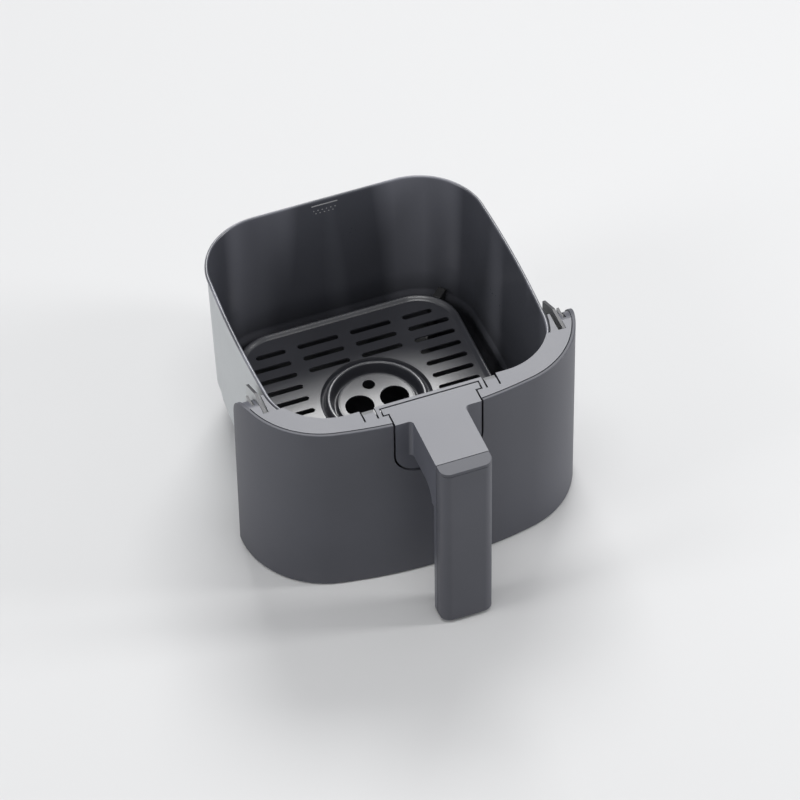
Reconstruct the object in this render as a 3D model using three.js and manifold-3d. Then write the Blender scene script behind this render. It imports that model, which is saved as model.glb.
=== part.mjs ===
// Air fryer drawer: pan, crisper plate, front panel and handle.
// Millimetres, +Z up, +Y towards the back. The origin is under the middle of the whole drawer.
import * as THREE from "three";
import { mergeVertices } from "three/addons/utils/BufferGeometryUtils.js";
import Module from "manifold-3d";

const wasm = await Module();
wasm.setup();

// ---- driving sizes ---------------------------------------------------------
const FIT = 0.3; // clearance between two pieces that touch

const PAN_WIDTH = 200; // over the rolled rim, at the corners
const PAN_DEPTH = 205;
const PAN_HEIGHT = 144;
const PAN_CORNER = 48.7; // plan radius of the rim's corners
const PAN_CROWN = 1.6; // its left and right sides bulge out this much half-way back
const PAN_WALL = 1.2;
const PAN_FRONT = -68; // y of the rim's front edge
const RIM_ROLL = 1.2; // how far the rolled rim stands out from the wall
const RIM_ROLL_HEIGHT = 2.6;
const PAN_TAPER = 3; // each wall leans in this much from the rim to the step
const STEP_TOP = 38; // pressed step low in the wall
const STEP_HEIGHT = 7;
const STEP_INSET = 2.4;
const BOTTOM_RADIUS = 26; // bend between wall and floor

const FASCIA_MARGIN = 18.8; // from the rim's side to the panel's outer side
const FASCIA_REACH = 16.4; // from the rim's front to the panel's foremost point
const FASCIA_BOW = 340; // plan radius of the panel's face
const FASCIA_CORNER = 61.4; // plan radius of its corners
const FASCIA_THICKNESS = 2.5;
const FASCIA_FOOT = 0.8; // height of its lower edge
const FASCIA_END = 54.5; // its side wings end this far behind the rim's front
const FASCIA_END_RADIUS = 22; // rounded upper rear corner of each wing
const FLANGE_WIDTH = 4; // inward flange along its lower edge
const FLANGE_THICKNESS = 1.8;

const TRIM_RISE = 3; // top of the trim above the rim
const TRIM_THICKNESS = 1.9;
const TRIM_LAP = 5.4; // how far the trim reaches in over the rim at the front
const TRIM_STEP_BACK = 26.6; // behind here the trim only runs between guide and panel
const TRIM_END_DROP = 0.8; // the trim's ends are set down this much
const TRIM_END_START = 34;
const TRIM_END = 46; // its ends bend down with the panel's wings as far as here
const SHELF_DEPTH = 2.4; // shelf beside the rim, below the trim
const SHELF_THICKNESS = 1.6;
const SHELF_END = 45;
const SHELF_GAP = 2.2; // slot between shelf and side guide

const HEAD_HALF = 34; // T-shaped head of the handle
const HEAD_BACK = 1.9;
const HEAD_FRONT = -3.6;
const NECK_HALF = 30.2;
const HANDLE_GAP = 1.1; // visible gap round the handle's base
const SHIELD_DROP = 47; // height of the U-shaped base below the top
const SHIELD_CORNER = 17;
const SHIELD_THICKNESS = 3;
const ARM_HALF = 18.4;
const ARM_DEPTH = 32; // height of the arm
const ARM_ROOT_RADIUS = 3;
const ARM_BEND_RADIUS = 12; // bend between the arm's underside and the grip
const GRIP_FRONT = -69; // y from the rim's front, like the next three
const GRIP_SEAM = -58;
const GRIP_BACK = -49.5;
const GRIP_FOOT = 2.6; // height of its lower end
const GRIP_FRONT_RADIUS = 7;
const GRIP_BACK_RADIUS = 4.5;
const GRIP_SKIN = 2.4;
const CAP_THICKNESS = 2.4;

const CORE_WIDTH = 18; // steel strap inside the handle
const CORE_THICKNESS = 2.5;
const CORE_ARM_Z = 14; // below the handle's top

const BRACKET_SHEET = 1.5;
const BRACKET_HALF = 23; // half width of its box part
const BRACKET_FLANGE = 9;
const BRACKET_DROP = 8; // its top below the rim
const BRACKET_HEIGHT = 74;

const BAFFLE_OFFSET = 7.5; // heat shield behind the panel's outer face
const BAFFLE_SHEET = 0.8;
const BAFFLE_LOW = 8;
const BAFFLE_DROP = 19; // its top below the trim's top
const BAFFLE_CLEARANCE = 3; // to the side guides
const BAFFLE_WINDOW = 38;

const SCREW_RADIUS = 1.9;
const SCREW_HEAD_RADIUS = 3.6;
const SCREW_HEAD_HEIGHT = 2.2;
const GRIP_SCREW_DOWN = 38; // lower grip screw below the grip's middle
const GRIP_SCREW_UP = 22; // upper one above it
const BASE_SCREW_SPREAD = 14; // base screws either side of the middle
const BASE_SCREW_RISE = 22; // above the foot of the handle's base

const CLIP_WIDTH = 8.6;
const CLIP_CENTRE = 42.8;
const CLIP_SHEET = 0.7;
const CLIP_LEG = 8;
const CLIP_REACH = 1.6; // visible upstand behind the rim's inner face

const GUIDE_GAP = 4.6; // from the rim's side to the inner plate
const GUIDE_SHEET = 2;
const GUIDE_START = 27;
const GUIDE_SLOPE_START = 46; // its upper edge falls away behind here
const GUIDE_END = 63;
const GUIDE_END_DROP = 8.5;
const GUIDE_HEIGHT = 30; // of the block, below the trim's shelf
const FIN_GAP = 9.4; // from the rim's side to the outer fin
const FIN_SHEET = 1.6;
const FIN_END = 50;
const FIN_HEIGHT = 15;
const FIN_NOTCH_START = 37; // slot in the trim over the fin

const PLATE_SIDE_GAP = 19; // from the rim's outer side to the plate's side
const PLATE_CENTRE_BACK = 1.5; // plate centre behind the pan's centre
const PLATE_LEVEL = 43; // height of its upper face
const PLATE_SHEET = 1.2;
const PLATE_CORNER = 31;
const PLATE_RIM_WIDTH = 5;
const PLATE_RIM_RISE = 2;
const PLATE_SKIRT = 5;
const SLOT_WIDTH = 4.2;
const SLOT_SPACE = 8.8; // between slots of one row
const SLOT_PITCH = 11.87; // between rows
const SLOT_MARGIN = 2.8; // from the raised rim to the outermost slot
const ROW_MARGIN = 12;
const CORNER_SLOT_CUT = 8.2; // the last row's outer slots are shorter
const RING_RADIUS = 39;
const RING_LAP = 0.6; // flat edge of the pressed centre outside the ring
const RIDGE_RADIUS = 33.4; // middle of the raised ridge
const RIDGE_RISE = 2;
const GROOVE_RADIUS = 29;
const GROOVE_DEPTH = 6;
const MOAT_DEPTH = 3; // groove between ridge and ring
const DISC_RADIUS = 27;
const DISC_DEPTH = 2.6;
const FINGER_HOLE_RADIUS = 10;
const FINGER_HOLE_SPREAD = 12.7;
const SMALL_HOLE_RADIUS = 4.35;
const SMALL_HOLE_BACK = 16.8;
const LEG_RADIUS = 4;
const LEG_INSET = 13.5; // from the plate's sides
const BUMPER_WIDTH = 6;
const BUMPER_HEIGHT = 8;
const BUMPER_WALL_GAP = 1.2;

// ---- places that follow from the sizes ---------------------------------------
const fromRim = (distance) => PAN_FRONT + distance;
const PAN_CENTRE_Y = PAN_FRONT + PAN_DEPTH / 2;
const TOP = PAN_HEIGHT + TRIM_RISE;
const TRIM_BOTTOM = TOP - TRIM_THICKNESS;
const FASCIA_HALF = PAN_WIDTH / 2 + FASCIA_MARGIN;
const SHIELD_FOOT = TOP - SHIELD_DROP;
const STEP_BOTTOM = STEP_TOP - STEP_HEIGHT;
const BRACKET_HIGH = PAN_HEIGHT - BRACKET_DROP;
const BRACKET_LOW = BRACKET_HIGH - BRACKET_HEIGHT;
const BAFFLE_HIGH = TOP - BAFFLE_DROP;

// ---- materials ---------------------------------------------------------------
function material(color, roughness, metalness) {
  return new THREE.MeshStandardMaterial({ color, roughness, metalness });
}
const coated = material(0x2f3033, 0.35, 0.3);
const slate = material(0x4d4e55, 0.5, 0);
const slateLight = material(0x55565c, 0.5, 0);
const steel = material(0xa9abad, 0.35, 1);
const silicone = material(0x18191a, 0.7, 0);
const blackPlastic = material(0x232427, 0.6, 0);

// ---- solids ------------------------------------------------------------------
function toSolid(geometry) {
  geometry.deleteAttribute("normal");
  geometry.deleteAttribute("uv");
  const merged = mergeVertices(geometry, 1e-4);
  return new wasm.Manifold(
    new wasm.Mesh({
      numProp: 3,
      vertProperties: new Float32Array(merged.attributes.position.array),
      triVerts: new Uint32Array(merged.index.array),
    })
  );
}

function toMesh(name, solid, surface) {
  const data = solid.getMesh();
  const geometry = new THREE.BufferGeometry();
  geometry.setAttribute("position", new THREE.BufferAttribute(data.vertProperties, 3));
  geometry.setIndex(new THREE.BufferAttribute(data.triVerts, 1));
  geometry.computeVertexNormals();
  const mesh = new THREE.Mesh(geometry, surface);
  mesh.name = name;
  return mesh;
}

const union = (solids) => solids.reduce((sum, next) => sum.add(next));
const cut = (solid, tools) => tools.reduce((rest, tool) => rest.subtract(tool), solid);

// Upright prism over a plan outline.
function prism(points, low, high) {
  const shape = new THREE.Shape(points.map(([x, y]) => new THREE.Vector2(x, y)));
  const geometry = new THREE.ExtrudeGeometry(shape, { depth: high - low, bevelEnabled: false });
  geometry.translate(0, 0, low);
  return toSolid(geometry);
}

// Prism running along Y over an outline drawn as seen from the front (x, z).
function prismAlongY(points, front, back) {
  const shape = new THREE.Shape(points.map(([x, z]) => new THREE.Vector2(x, z)));
  const geometry = new THREE.ExtrudeGeometry(shape, { depth: back - front, bevelEnabled: false });
  geometry.rotateX(Math.PI / 2);
  geometry.translate(0, back, 0);
  return toSolid(geometry);
}

// Prism running along X over an outline drawn as seen from the side (y, z).
function prismAlongX(points, left, right) {
  const shape = new THREE.Shape(points.map(([y, z]) => new THREE.Vector2(y, z)));
  const geometry = new THREE.ExtrudeGeometry(shape, { depth: right - left, bevelEnabled: false });
  geometry.rotateY(Math.PI / 2);
  geometry.rotateX(Math.PI / 2);
  geometry.translate(left, 0, 0);
  return toSolid(geometry);
}

function box(left, right, front, back, low, high) {
  return prism([[left, front], [right, front], [right, back], [left, back]], low, high);
}

function rod(x, y, z, radius, length, axis) {
  const geometry = new THREE.CylinderGeometry(radius, radius, length, 20);
  if (axis === "z") geometry.rotateX(Math.PI / 2);
  geometry.translate(x, y, z);
  return toSolid(geometry);
}

function arc(x, y, radius, startDegrees, endDegrees, steps) {
  const points = [];
  for (let i = 0; i <= steps; i++) {
    const angle = THREE.MathUtils.degToRad(startDegrees + ((endDegrees - startDegrees) * i) / steps);
    points.push([x + radius * Math.cos(angle), y + radius * Math.sin(angle)]);
  }
  return points;
}

function roundedRect(halfX, halfY, radius, centreY, steps) {
  const x = halfX - radius;
  const y = halfY - radius;
  return [
    ...arc(x, centreY + y, radius, 0, 90, steps),
    ...arc(-x, centreY + y, radius, 90, 180, steps),
    ...arc(-x, centreY - y, radius, 180, 270, steps),
    ...arc(x, centreY - y, radius, 270, 360, steps),
  ];
}

// Skin over a stack of closed outlines with equal numbers of points; both ends are closed.
function loft(outlines) {
  const count = outlines[0].points.length;
  const positions = [];
  const faces = [];
  for (const { points, z } of outlines) for (const [x, y] of points) positions.push(x, y, z);
  for (let level = 0; level + 1 < outlines.length; level++) {
    for (let i = 0; i < count; i++) {
      const a = level * count + i;
      const b = level * count + ((i + 1) % count);
      faces.push(a, b, b + count, a, b + count, a + count);
    }
  }
  const closeEnd = (level, reversed) => {
    const { points, z } = outlines[level];
    const middle = positions.length / 3;
    const sum = points.reduce(([x, y], [px, py]) => [x + px, y + py], [0, 0]);
    positions.push(sum[0] / count, sum[1] / count, z);
    for (let i = 0; i < count; i++) {
      const a = level * count + i;
      const b = level * count + ((i + 1) % count);
      faces.push(...(reversed ? [b, a, middle] : [a, b, middle]));
    }
  };
  closeEnd(0, true);
  closeEnd(outlines.length - 1, false);
  const geometry = new THREE.BufferGeometry();
  geometry.setAttribute("position", new THREE.Float32BufferAttribute(positions, 3));
  geometry.setIndex(faces);
  return toSolid(geometry);
}

// ---- pan ---------------------------------------------------------------------
// How far the wall's outer face stands in from the rim's outer edge at a height.
const upperInset = (z) => RIM_ROLL + (PAN_TAPER * (PAN_HEIGHT - z)) / (PAN_HEIGHT - STEP_TOP);
const LOWER_INSET = upperInset(STEP_TOP) + STEP_INSET;

// Rounded square with crowned left and right sides, drawn inside the rim's outer edge.
function panOutline(inset) {
  const x = PAN_WIDTH / 2 - PAN_CORNER;
  const y = PAN_DEPTH / 2 - PAN_CORNER;
  const radius = PAN_CORNER - inset;
  const crownedSide = (side) =>
    [-0.75, -0.5, -0.25, 0, 0.25, 0.5, 0.75].map((part) => [
      side * (x + radius + PAN_CROWN * (1 - part * part)),
      PAN_CENTRE_Y + side * part * y,
    ]);
  return [
    ...arc(x, PAN_CENTRE_Y + y, radius, 0, 90, 8),
    ...arc(-x, PAN_CENTRE_Y + y, radius, 90, 180, 8),
    ...crownedSide(-1),
    ...arc(-x, PAN_CENTRE_Y - y, radius, 180, 270, 8),
    ...arc(x, PAN_CENTRE_Y - y, radius, 270, 360, 8),
    ...crownedSide(1),
  ];
}

// Profile of one face of the sheet from the floor to just below the rim; skin is 0 for the
// outer face and the sheet's thickness for the inner one.
function panProfile(skin) {
  const profile = [];
  for (const [out, up] of arc(0, 0, BOTTOM_RADIUS - skin, -90, 0, 5)) {
    profile.push({ inset: LOWER_INSET + BOTTOM_RADIUS - out, z: BOTTOM_RADIUS + up });
  }
  profile.push({ inset: LOWER_INSET + skin, z: STEP_BOTTOM + skin });
  profile.push({ inset: upperInset(STEP_TOP) + skin, z: STEP_TOP + skin });
  profile.push({ inset: upperInset(PAN_HEIGHT - RIM_ROLL_HEIGHT) + skin, z: PAN_HEIGHT - RIM_ROLL_HEIGHT });
  return profile;
}

function makePan() {
  const roll = RIM_ROLL + PAN_WALL;
  const rim = arc(roll / 2, PAN_HEIGHT - roll / 2, roll / 2, 180, 0, 6).map(([inset, z]) => ({ inset, z }));
  const underRoll = { inset: 0, z: PAN_HEIGHT - RIM_ROLL_HEIGHT };
  const profile = [...panProfile(0), underRoll, ...rim, ...panProfile(PAN_WALL).reverse()];
  return toMesh("pan", loft(profile.map(({ inset, z }) => ({ points: panOutline(inset), z }))), coated);
}

// ---- front panel ---------------------------------------------------------------
const BOW_CENTRE_Y = fromRim(FASCIA_BOW - FASCIA_REACH);
const CORNER_X = FASCIA_HALF - FASCIA_CORNER;
const CORNER_Y = BOW_CENTRE_Y - Math.sqrt((FASCIA_BOW - FASCIA_CORNER) ** 2 - CORNER_X ** 2);
const CORNER_TURN = THREE.MathUtils.radToDeg(Math.asin(CORNER_X / (FASCIA_BOW - FASCIA_CORNER)));

// Right to left round the front, a given distance inside the panel's outer face. The sides run
// on to the middle of the pan; what is cut from the curve is trimmed to its own length.
function frontCurve(inside) {
  const radius = FASCIA_CORNER - inside;
  return [
    [FASCIA_HALF - inside, PAN_CENTRE_Y],
    ...arc(CORNER_X, CORNER_Y, radius, 0, CORNER_TURN - 90, 9),
    ...arc(0, BOW_CENTRE_Y, FASCIA_BOW - inside, CORNER_TURN - 90, -CORNER_TURN - 90, 10).slice(1, -1),
    ...arc(-CORNER_X, CORNER_Y, radius, -CORNER_TURN - 90, -180, 9),
    [-(FASCIA_HALF - inside), PAN_CENTRE_Y],
  ];
}

const inFrontOf = (end) => box(-FASCIA_HALF - 1, FASCIA_HALF + 1, fromRim(-80), fromRim(end), -1, TOP + 1);

function frontBand(outside, inside, end, low, high) {
  const band = prism([...frontCurve(outside), ...frontCurve(inside).reverse()], low, high);
  return band.intersect(inFrontOf(end));
}

// Range in x between two distances out from the rim's side, on the left (-1) or right (1).
function sideSpan(side, near, far) {
  const half = PAN_WIDTH / 2;
  return side > 0 ? [half + near, half + far] : [-half - far, -half - near];
}

// U-shaped outline of the handle's base, seen from the front, grown by a margin.
function shieldOutline(margin) {
  const half = NECK_HALF + margin;
  const foot = SHIELD_FOOT - margin;
  const radius = SHIELD_CORNER + margin;
  return [
    [-half, TOP + 1],
    ...arc(-half + radius, foot + radius, radius, 180, 270, 6),
    ...arc(half - radius, foot + radius, radius, 270, 360, 6),
    [half, TOP + 1],
  ];
}

function wingCornerCut() {
  const back = fromRim(FASCIA_END);
  const radius = FASCIA_END_RADIUS;
  const corner = [
    ...arc(back - radius, TOP - radius, radius, 0, 90, 5),
    [back - radius, TOP + 1],
    [back + 1, TOP + 1],
    [back + 1, TOP - radius],
  ];
  return prismAlongX(corner, -FASCIA_HALF - 1, FASCIA_HALF + 1);
}

function makeFascia() {
  const wall = frontBand(0, FASCIA_THICKNESS, FASCIA_END, FASCIA_FOOT, TOP);
  const inner = FASCIA_THICKNESS + FLANGE_WIDTH;
  const flange = frontBand(1, inner, FASCIA_END, FASCIA_FOOT, FASCIA_FOOT + FLANGE_THICKNESS);
  const window = prismAlongY(shieldOutline(HANDLE_GAP), fromRim(-30), fromRim(0));
  return toMesh("fascia", cut(union([wall, flange]), [window, wingCornerCut()]), slate);
}

// ---- trim on top of the panel ----------------------------------------------------
// The plan area inside the trim: over the rim at the front, outside the side guides behind.
function trimOpening() {
  const corner = PAN_CORNER - TRIM_LAP;
  const overRim = roundedRect(PAN_WIDTH / 2 - 1.2, PAN_DEPTH / 2 - TRIM_LAP, corner, PAN_CENTRE_Y, 8);
  const half = PAN_WIDTH / 2 + GUIDE_GAP + GUIDE_SHEET + FIT;
  return prism(overRim, 0, 400).add(box(-half, half, fromRim(TRIM_STEP_BACK), fromRim(400), 0, 400));
}

// Side view of the trim: flat, then a lowered tail that bends down like the panel's wings.
function trimProfile() {
  const centreY = fromRim(FASCIA_END) - FASCIA_END_RADIUS;
  const centreZ = TOP - FASCIA_END_RADIUS;
  const upper = FASCIA_END_RADIUS - TRIM_END_DROP;
  const lower = FASCIA_END_RADIUS - TRIM_THICKNESS;
  const angleAt = (radius, distance) => (Math.acos((fromRim(distance) - centreY) / radius) * 180) / Math.PI;
  return [
    [fromRim(-80), TRIM_BOTTOM],
    ...arc(centreY, centreZ, lower, 90, angleAt(lower, TRIM_END), 4),
    ...arc(centreY, centreZ, upper, angleAt(upper, TRIM_END), angleAt(upper, TRIM_END_START), 4),
    [fromRim(TRIM_END_START), TOP],
    [fromRim(-80), TOP],
  ];
}

function handleSlot() {
  const margin = HANDLE_GAP;
  const head = box(-HEAD_HALF - margin, HEAD_HALF + margin, fromRim(HEAD_FRONT - margin),
    fromRim(HEAD_BACK + margin), 0, 400);
  const neck = box(-NECK_HALF - margin, NECK_HALF + margin, fromRim(-40), fromRim(HEAD_FRONT), 0, 400);
  return head.add(neck);
}

function clipNotch(side) {
  const centre = side * CLIP_CENTRE;
  const half = CLIP_WIDTH / 2;
  const slits = [-1, 1].map((edge) =>
    box(centre + edge * (half + FIT) - 0.6, centre + edge * (half + FIT) + 0.6, fromRim(-5), fromRim(9), 0, 400)
  );
  const tip = box(centre - half - FIT, centre + half + FIT, fromRim(RIM_ROLL + 0.2), fromRim(9), 0, 400);
  return union([...slits, tip]);
}

function makeTrim() {
  const plan = prism(frontCurve(FASCIA_THICKNESS + FIT), 0, TOP + 1);
  const sheet = prismAlongX(trimProfile(), -FASCIA_HALF, FASCIA_HALF).intersect(plan);
  const notches = [-1, 1].map((side) => {
    const fin = sideSpan(side, FIN_GAP - FIT, FIN_GAP + FIN_SHEET + FIT);
    return box(...fin, fromRim(FIN_NOTCH_START), fromRim(80), 0, 400);
  });
  const flat = cut(sheet, [trimOpening(), handleSlot(), clipNotch(-1), clipNotch(1), ...notches]);
  return toMesh("top_trim", union([flat, makeShelf(-1), makeShelf(1)]), slateLight);
}

// Low shelf between the rim and the side guide, hung from the trim's step.
function makeShelf(side) {
  const low = TRIM_BOTTOM - SHELF_DEPTH;
  const span = sideSpan(side, -12, GUIDE_GAP - SHELF_GAP);
  const riserBack = TRIM_STEP_BACK + 0.2;
  const floor = box(...span, fromRim(TRIM_STEP_BACK - 2), fromRim(SHELF_END), low, low + SHELF_THICKNESS);
  const riser = box(...span, fromRim(TRIM_STEP_BACK - 2), fromRim(riserBack), low, TRIM_BOTTOM + 0.5);
  const clearance = prism(panOutline(-0.8), 0, 400);
  return cut(floor.add(riser), [clearance]);
}

// Spring clip over the rim under each notch of the trim.
function makeClip(name, side) {
  const inner = RIM_ROLL + PAN_WALL;
  const low = PAN_HEIGHT + FIT;
  const high = low + CLIP_SHEET;
  const up = TOP - 0.9;
  const tip = inner + CLIP_REACH;
  const profile = [
    [-CLIP_SHEET - FIT, high],
    [-CLIP_SHEET - FIT, low - CLIP_LEG],
    [-FIT, low - CLIP_LEG],
    [-FIT, low],
    [inner + FIT, low],
    [inner + FIT, low - CLIP_LEG],
    [inner + FIT + CLIP_SHEET, low - CLIP_LEG],
    [inner + FIT + CLIP_SHEET, low],
    [tip + CLIP_SHEET, low],
    [tip + CLIP_SHEET, up],
    [inner - 0.4, up],
    [inner - 0.4, high],
  ].map(([y, z]) => [fromRim(y), z]);
  const half = CLIP_WIDTH / 2 - FIT;
  const centre = side * CLIP_CENTRE;
  return toMesh(name, prismAlongX(profile, centre - half, centre + half), steel);
}

// Side guide: an inner plate reaching back beside the pan, an outer fin and the block between.
function makeGuide(name, side) {
  const high = TRIM_BOTTOM - SHELF_DEPTH - FIT;
  const low = high - GUIDE_HEIGHT;
  const plateProfile = [
    [GUIDE_START, low],
    [GUIDE_END - 12, low],
    [GUIDE_END, low + 12],
    [GUIDE_END, TOP - GUIDE_END_DROP],
    [GUIDE_SLOPE_START, TOP],
    [GUIDE_START, TOP],
  ].map(([y, z]) => [fromRim(y), z]);
  const plate = prismAlongX(plateProfile, ...sideSpan(side, GUIDE_GAP, GUIDE_GAP + GUIDE_SHEET));
  const finSpan = sideSpan(side, FIN_GAP, FIN_GAP + FIN_SHEET);
  const fin = box(...finSpan, fromRim(GUIDE_START), fromRim(FIN_END), high - FIN_HEIGHT, high);
  const blockSpan = sideSpan(side, GUIDE_GAP, FASCIA_MARGIN - FASCIA_THICKNESS - FIT);
  const block = box(...blockSpan, fromRim(GUIDE_START), fromRim(GUIDE_START + 7), low + 6, high);
  const insidePanel = prism(frontCurve(FASCIA_THICKNESS + FIT), 0, TOP + 1);
  return toMesh(name, union([plate, fin, block]).intersect(insidePanel), blackPlastic);
}

// ---- handle ----------------------------------------------------------------------
const GRIP_CENTRE_Z = (TOP + GRIP_FOOT) / 2;

// Plan outline of the grip between two depths; the rounded corners are at the named end.
function gripPlan(half, front, back, frontRadius, backRadius) {
  const corner = (x, y, radius, start) => (radius > 0 ? arc(x, y, radius, start, start + 90, 5) : [[x, y]]);
  return [
    ...corner(half - backRadius, fromRim(back) - backRadius, backRadius, 0),
    ...corner(-half + backRadius, fromRim(back) - backRadius, backRadius, 90),
    ...corner(-half + frontRadius, fromRim(front) + frontRadius, frontRadius, 180),
    ...corner(half - frontRadius, fromRim(front) + frontRadius, frontRadius, 270),
  ];
}

const SHIELD_FACE = -FASCIA_REACH + (NECK_HALF + HANDLE_GAP) ** 2 / (2 * FASCIA_BOW);

function armSolid() {
  const root = SHIELD_FACE + 1;
  const underside = TOP - ARM_DEPTH;
  const bend = ARM_BEND_RADIUS;
  const side = [
    [fromRim(root), TOP],
    [fromRim(GRIP_SEAM + FIT), TOP],
    [fromRim(GRIP_SEAM + FIT), underside - bend],
    [fromRim(GRIP_BACK), underside - bend],
    ...arc(fromRim(GRIP_BACK) + bend, underside - bend, bend, 180, 90, 6).slice(1),
    [fromRim(root), underside],
  ];
  const radius = ARM_ROOT_RADIUS;
  const face = fromRim(SHIELD_FACE);
  const plan = [
    [ARM_HALF + radius, face + 1],
    ...arc(ARM_HALF + radius, face - radius, radius, 90, 180, 4),
    [ARM_HALF, fromRim(GRIP_SEAM + FIT)],
    [-ARM_HALF, fromRim(GRIP_SEAM + FIT)],
    ...arc(-ARM_HALF - radius, face - radius, radius, 0, 90, 4),
    [-ARM_HALF - radius, face + 1],
  ];
  return prismAlongX(side, -60, 60).intersect(prism(plan, 0, TOP));
}

function corePocket(margin) {
  const half = CORE_WIDTH / 2 + margin;
  const high = TOP - CORE_ARM_Z + margin;
  const low = high - CORE_THICKNESS - 2 * margin;
  const down = coreBand();
  const along = box(-half, half, fromRim(down[0] - margin), fromRim(SHIELD_FACE - 4 + margin), low, high);
  const drop = box(-half, half, fromRim(down[0] - margin), fromRim(down[1] + margin), GRIP_FOOT + 9 - margin, high);
  return along.add(drop);
}

// Depths of the strap's upright part, a little in front of the grip's shell.
function coreBand() {
  const front = GRIP_SEAM - 0.5;
  return [front - CORE_THICKNESS, front];
}

function gripScrewPlaces() {
  return [GRIP_CENTRE_Z - GRIP_SCREW_DOWN, GRIP_CENTRE_Z + GRIP_SCREW_UP];
}

function shieldScrewPlaces() {
  return [-BASE_SCREW_SPREAD, BASE_SCREW_SPREAD].map((x) => ({ x, z: SHIELD_FOOT + BASE_SCREW_RISE }));
}

function makeHandleBody() {
  const shield = prismAlongY(shieldOutline(0), fromRim(SHIELD_FACE), fromRim(SHIELD_FACE + SHIELD_THICKNESS));
  const belowTop = box(-80, 80, fromRim(-80), fromRim(20), 0, TOP);
  const plateLow = PAN_HEIGHT + FIT;
  const neck = box(-NECK_HALF, NECK_HALF, fromRim(SHIELD_FACE), fromRim(HEAD_FRONT + 0.5), plateLow, TOP);
  const head = box(-HEAD_HALF, HEAD_HALF, fromRim(HEAD_FRONT), fromRim(HEAD_BACK), plateLow, TOP);
  const back = prism(gripPlan(ARM_HALF, GRIP_SEAM + FIT, GRIP_BACK, 0, GRIP_BACK_RADIUS), GRIP_FOOT, TOP);
  const hollow = box(-ARM_HALF + GRIP_SKIN, ARM_HALF - GRIP_SKIN, fromRim(GRIP_SEAM) - 1,
    fromRim(GRIP_BACK - GRIP_SKIN - 0.6), GRIP_FOOT + GRIP_SKIN, TOP - ARM_DEPTH - ARM_BEND_RADIUS);
  const body = union([shield.intersect(belowTop), neck, head, back, armSolid()]);
  const gripHoles = gripScrewPlaces().flatMap((z) => [
    rod(0, fromRim(GRIP_BACK), z, SCREW_RADIUS + FIT, 30, "y"),
    rod(0, fromRim(GRIP_BACK), z, SCREW_HEAD_RADIUS + FIT, 2 * (SCREW_HEAD_HEIGHT - 0.8), "y"),
  ]);
  const shieldHoles = shieldScrewPlaces().map(({ x, z }) =>
    rod(x, fromRim(SHIELD_FACE + SHIELD_THICKNESS), z, SCREW_RADIUS + FIT, 16, "y")
  );
  const pocket = corePocket(FIT + 0.1);
  return toMesh("handle_body", cut(body, [hollow, pocket, ...gripHoles, ...shieldHoles]), slate);
}

function makeCore() {
  const slots = gripScrewPlaces().map((z) => rod(0, fromRim(GRIP_SEAM), z, SCREW_RADIUS + FIT, 20, "y"));
  return toMesh("handle_core", cut(corePocket(0), slots), steel);
}

function makeCover() {
  const top = TOP - CAP_THICKNESS - FIT;
  const skin = prism(gripPlan(ARM_HALF, GRIP_FRONT, GRIP_SEAM, GRIP_FRONT_RADIUS, 0), GRIP_FOOT, top);
  const half = ARM_HALF - GRIP_SKIN;
  const depthGap = GRIP_FRONT + GRIP_SKIN;
  const inner = gripPlan(half, depthGap, GRIP_SEAM + 2, GRIP_FRONT_RADIUS - GRIP_SKIN, 0);
  const hollow = prism(inner, GRIP_FOOT + GRIP_SKIN, top - GRIP_SKIN);
  const bossBack = GRIP_SEAM - 0.5 - CORE_THICKNESS - FIT;
  const bosses = gripScrewPlaces().map((z) =>
    rod(0, fromRim((GRIP_FRONT + 1 + bossBack) / 2), z, 4, bossBack - GRIP_FRONT - 1, "y")
  );
  const bores = gripScrewPlaces().map((z) => rod(0, fromRim(bossBack), z, SCREW_RADIUS + FIT, 10, "y"));
  return toMesh("grip_cover", cut(union([cut(skin, [hollow]), ...bosses]), bores), slate);
}

function makeCap() {
  const plan = gripPlan(ARM_HALF, GRIP_FRONT, GRIP_SEAM, GRIP_FRONT_RADIUS, 0);
  return toMesh("grip_cap", prism(plan, TOP - CAP_THICKNESS, TOP), slateLight);
}

// ---- screws ------------------------------------------------------------------------
// Head first: the head's outer face is at y, the shank runs towards the front.
function makeScrew(name, x, y, z, length) {
  const head = rod(x, y - SCREW_HEAD_HEIGHT / 2, z, SCREW_HEAD_RADIUS, SCREW_HEAD_HEIGHT, "y");
  const shank = rod(x, y - SCREW_HEAD_HEIGHT - length / 2 + 0.2, z, SCREW_RADIUS, length + 0.4, "y");
  const slot = box(x - 0.5, x + 0.5, y - 0.9, y + 1, z - 2.2, z + 2.2);
  const cross = box(x - 2.2, x + 2.2, y - 0.9, y + 1, z - 0.5, z + 0.5);
  return toMesh(name, cut(head.add(shank), [slot, cross]), steel);
}

function makeGripScrews() {
  const seat = fromRim(GRIP_BACK) - (SCREW_HEAD_HEIGHT - 0.8) + FIT + SCREW_HEAD_HEIGHT;
  const [lower, upper] = gripScrewPlaces();
  return [
    makeScrew("grip_screw_lower", 0, seat, lower, 12),
    makeScrew("grip_screw_upper", 0, seat, upper, 12),
  ];
}

const BRACKET_FRONT = SHIELD_FACE + SHIELD_THICKNESS + FIT;

function makeShieldScrews() {
  const seat = fromRim(BRACKET_FRONT + BRACKET_SHEET + FIT) + SCREW_HEAD_HEIGHT;
  const [left, right] = shieldScrewPlaces();
  return [
    makeScrew("base_screw_left", left.x, seat, left.z, 7),
    makeScrew("base_screw_right", right.x, seat, right.z, 7),
  ];
}

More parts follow.
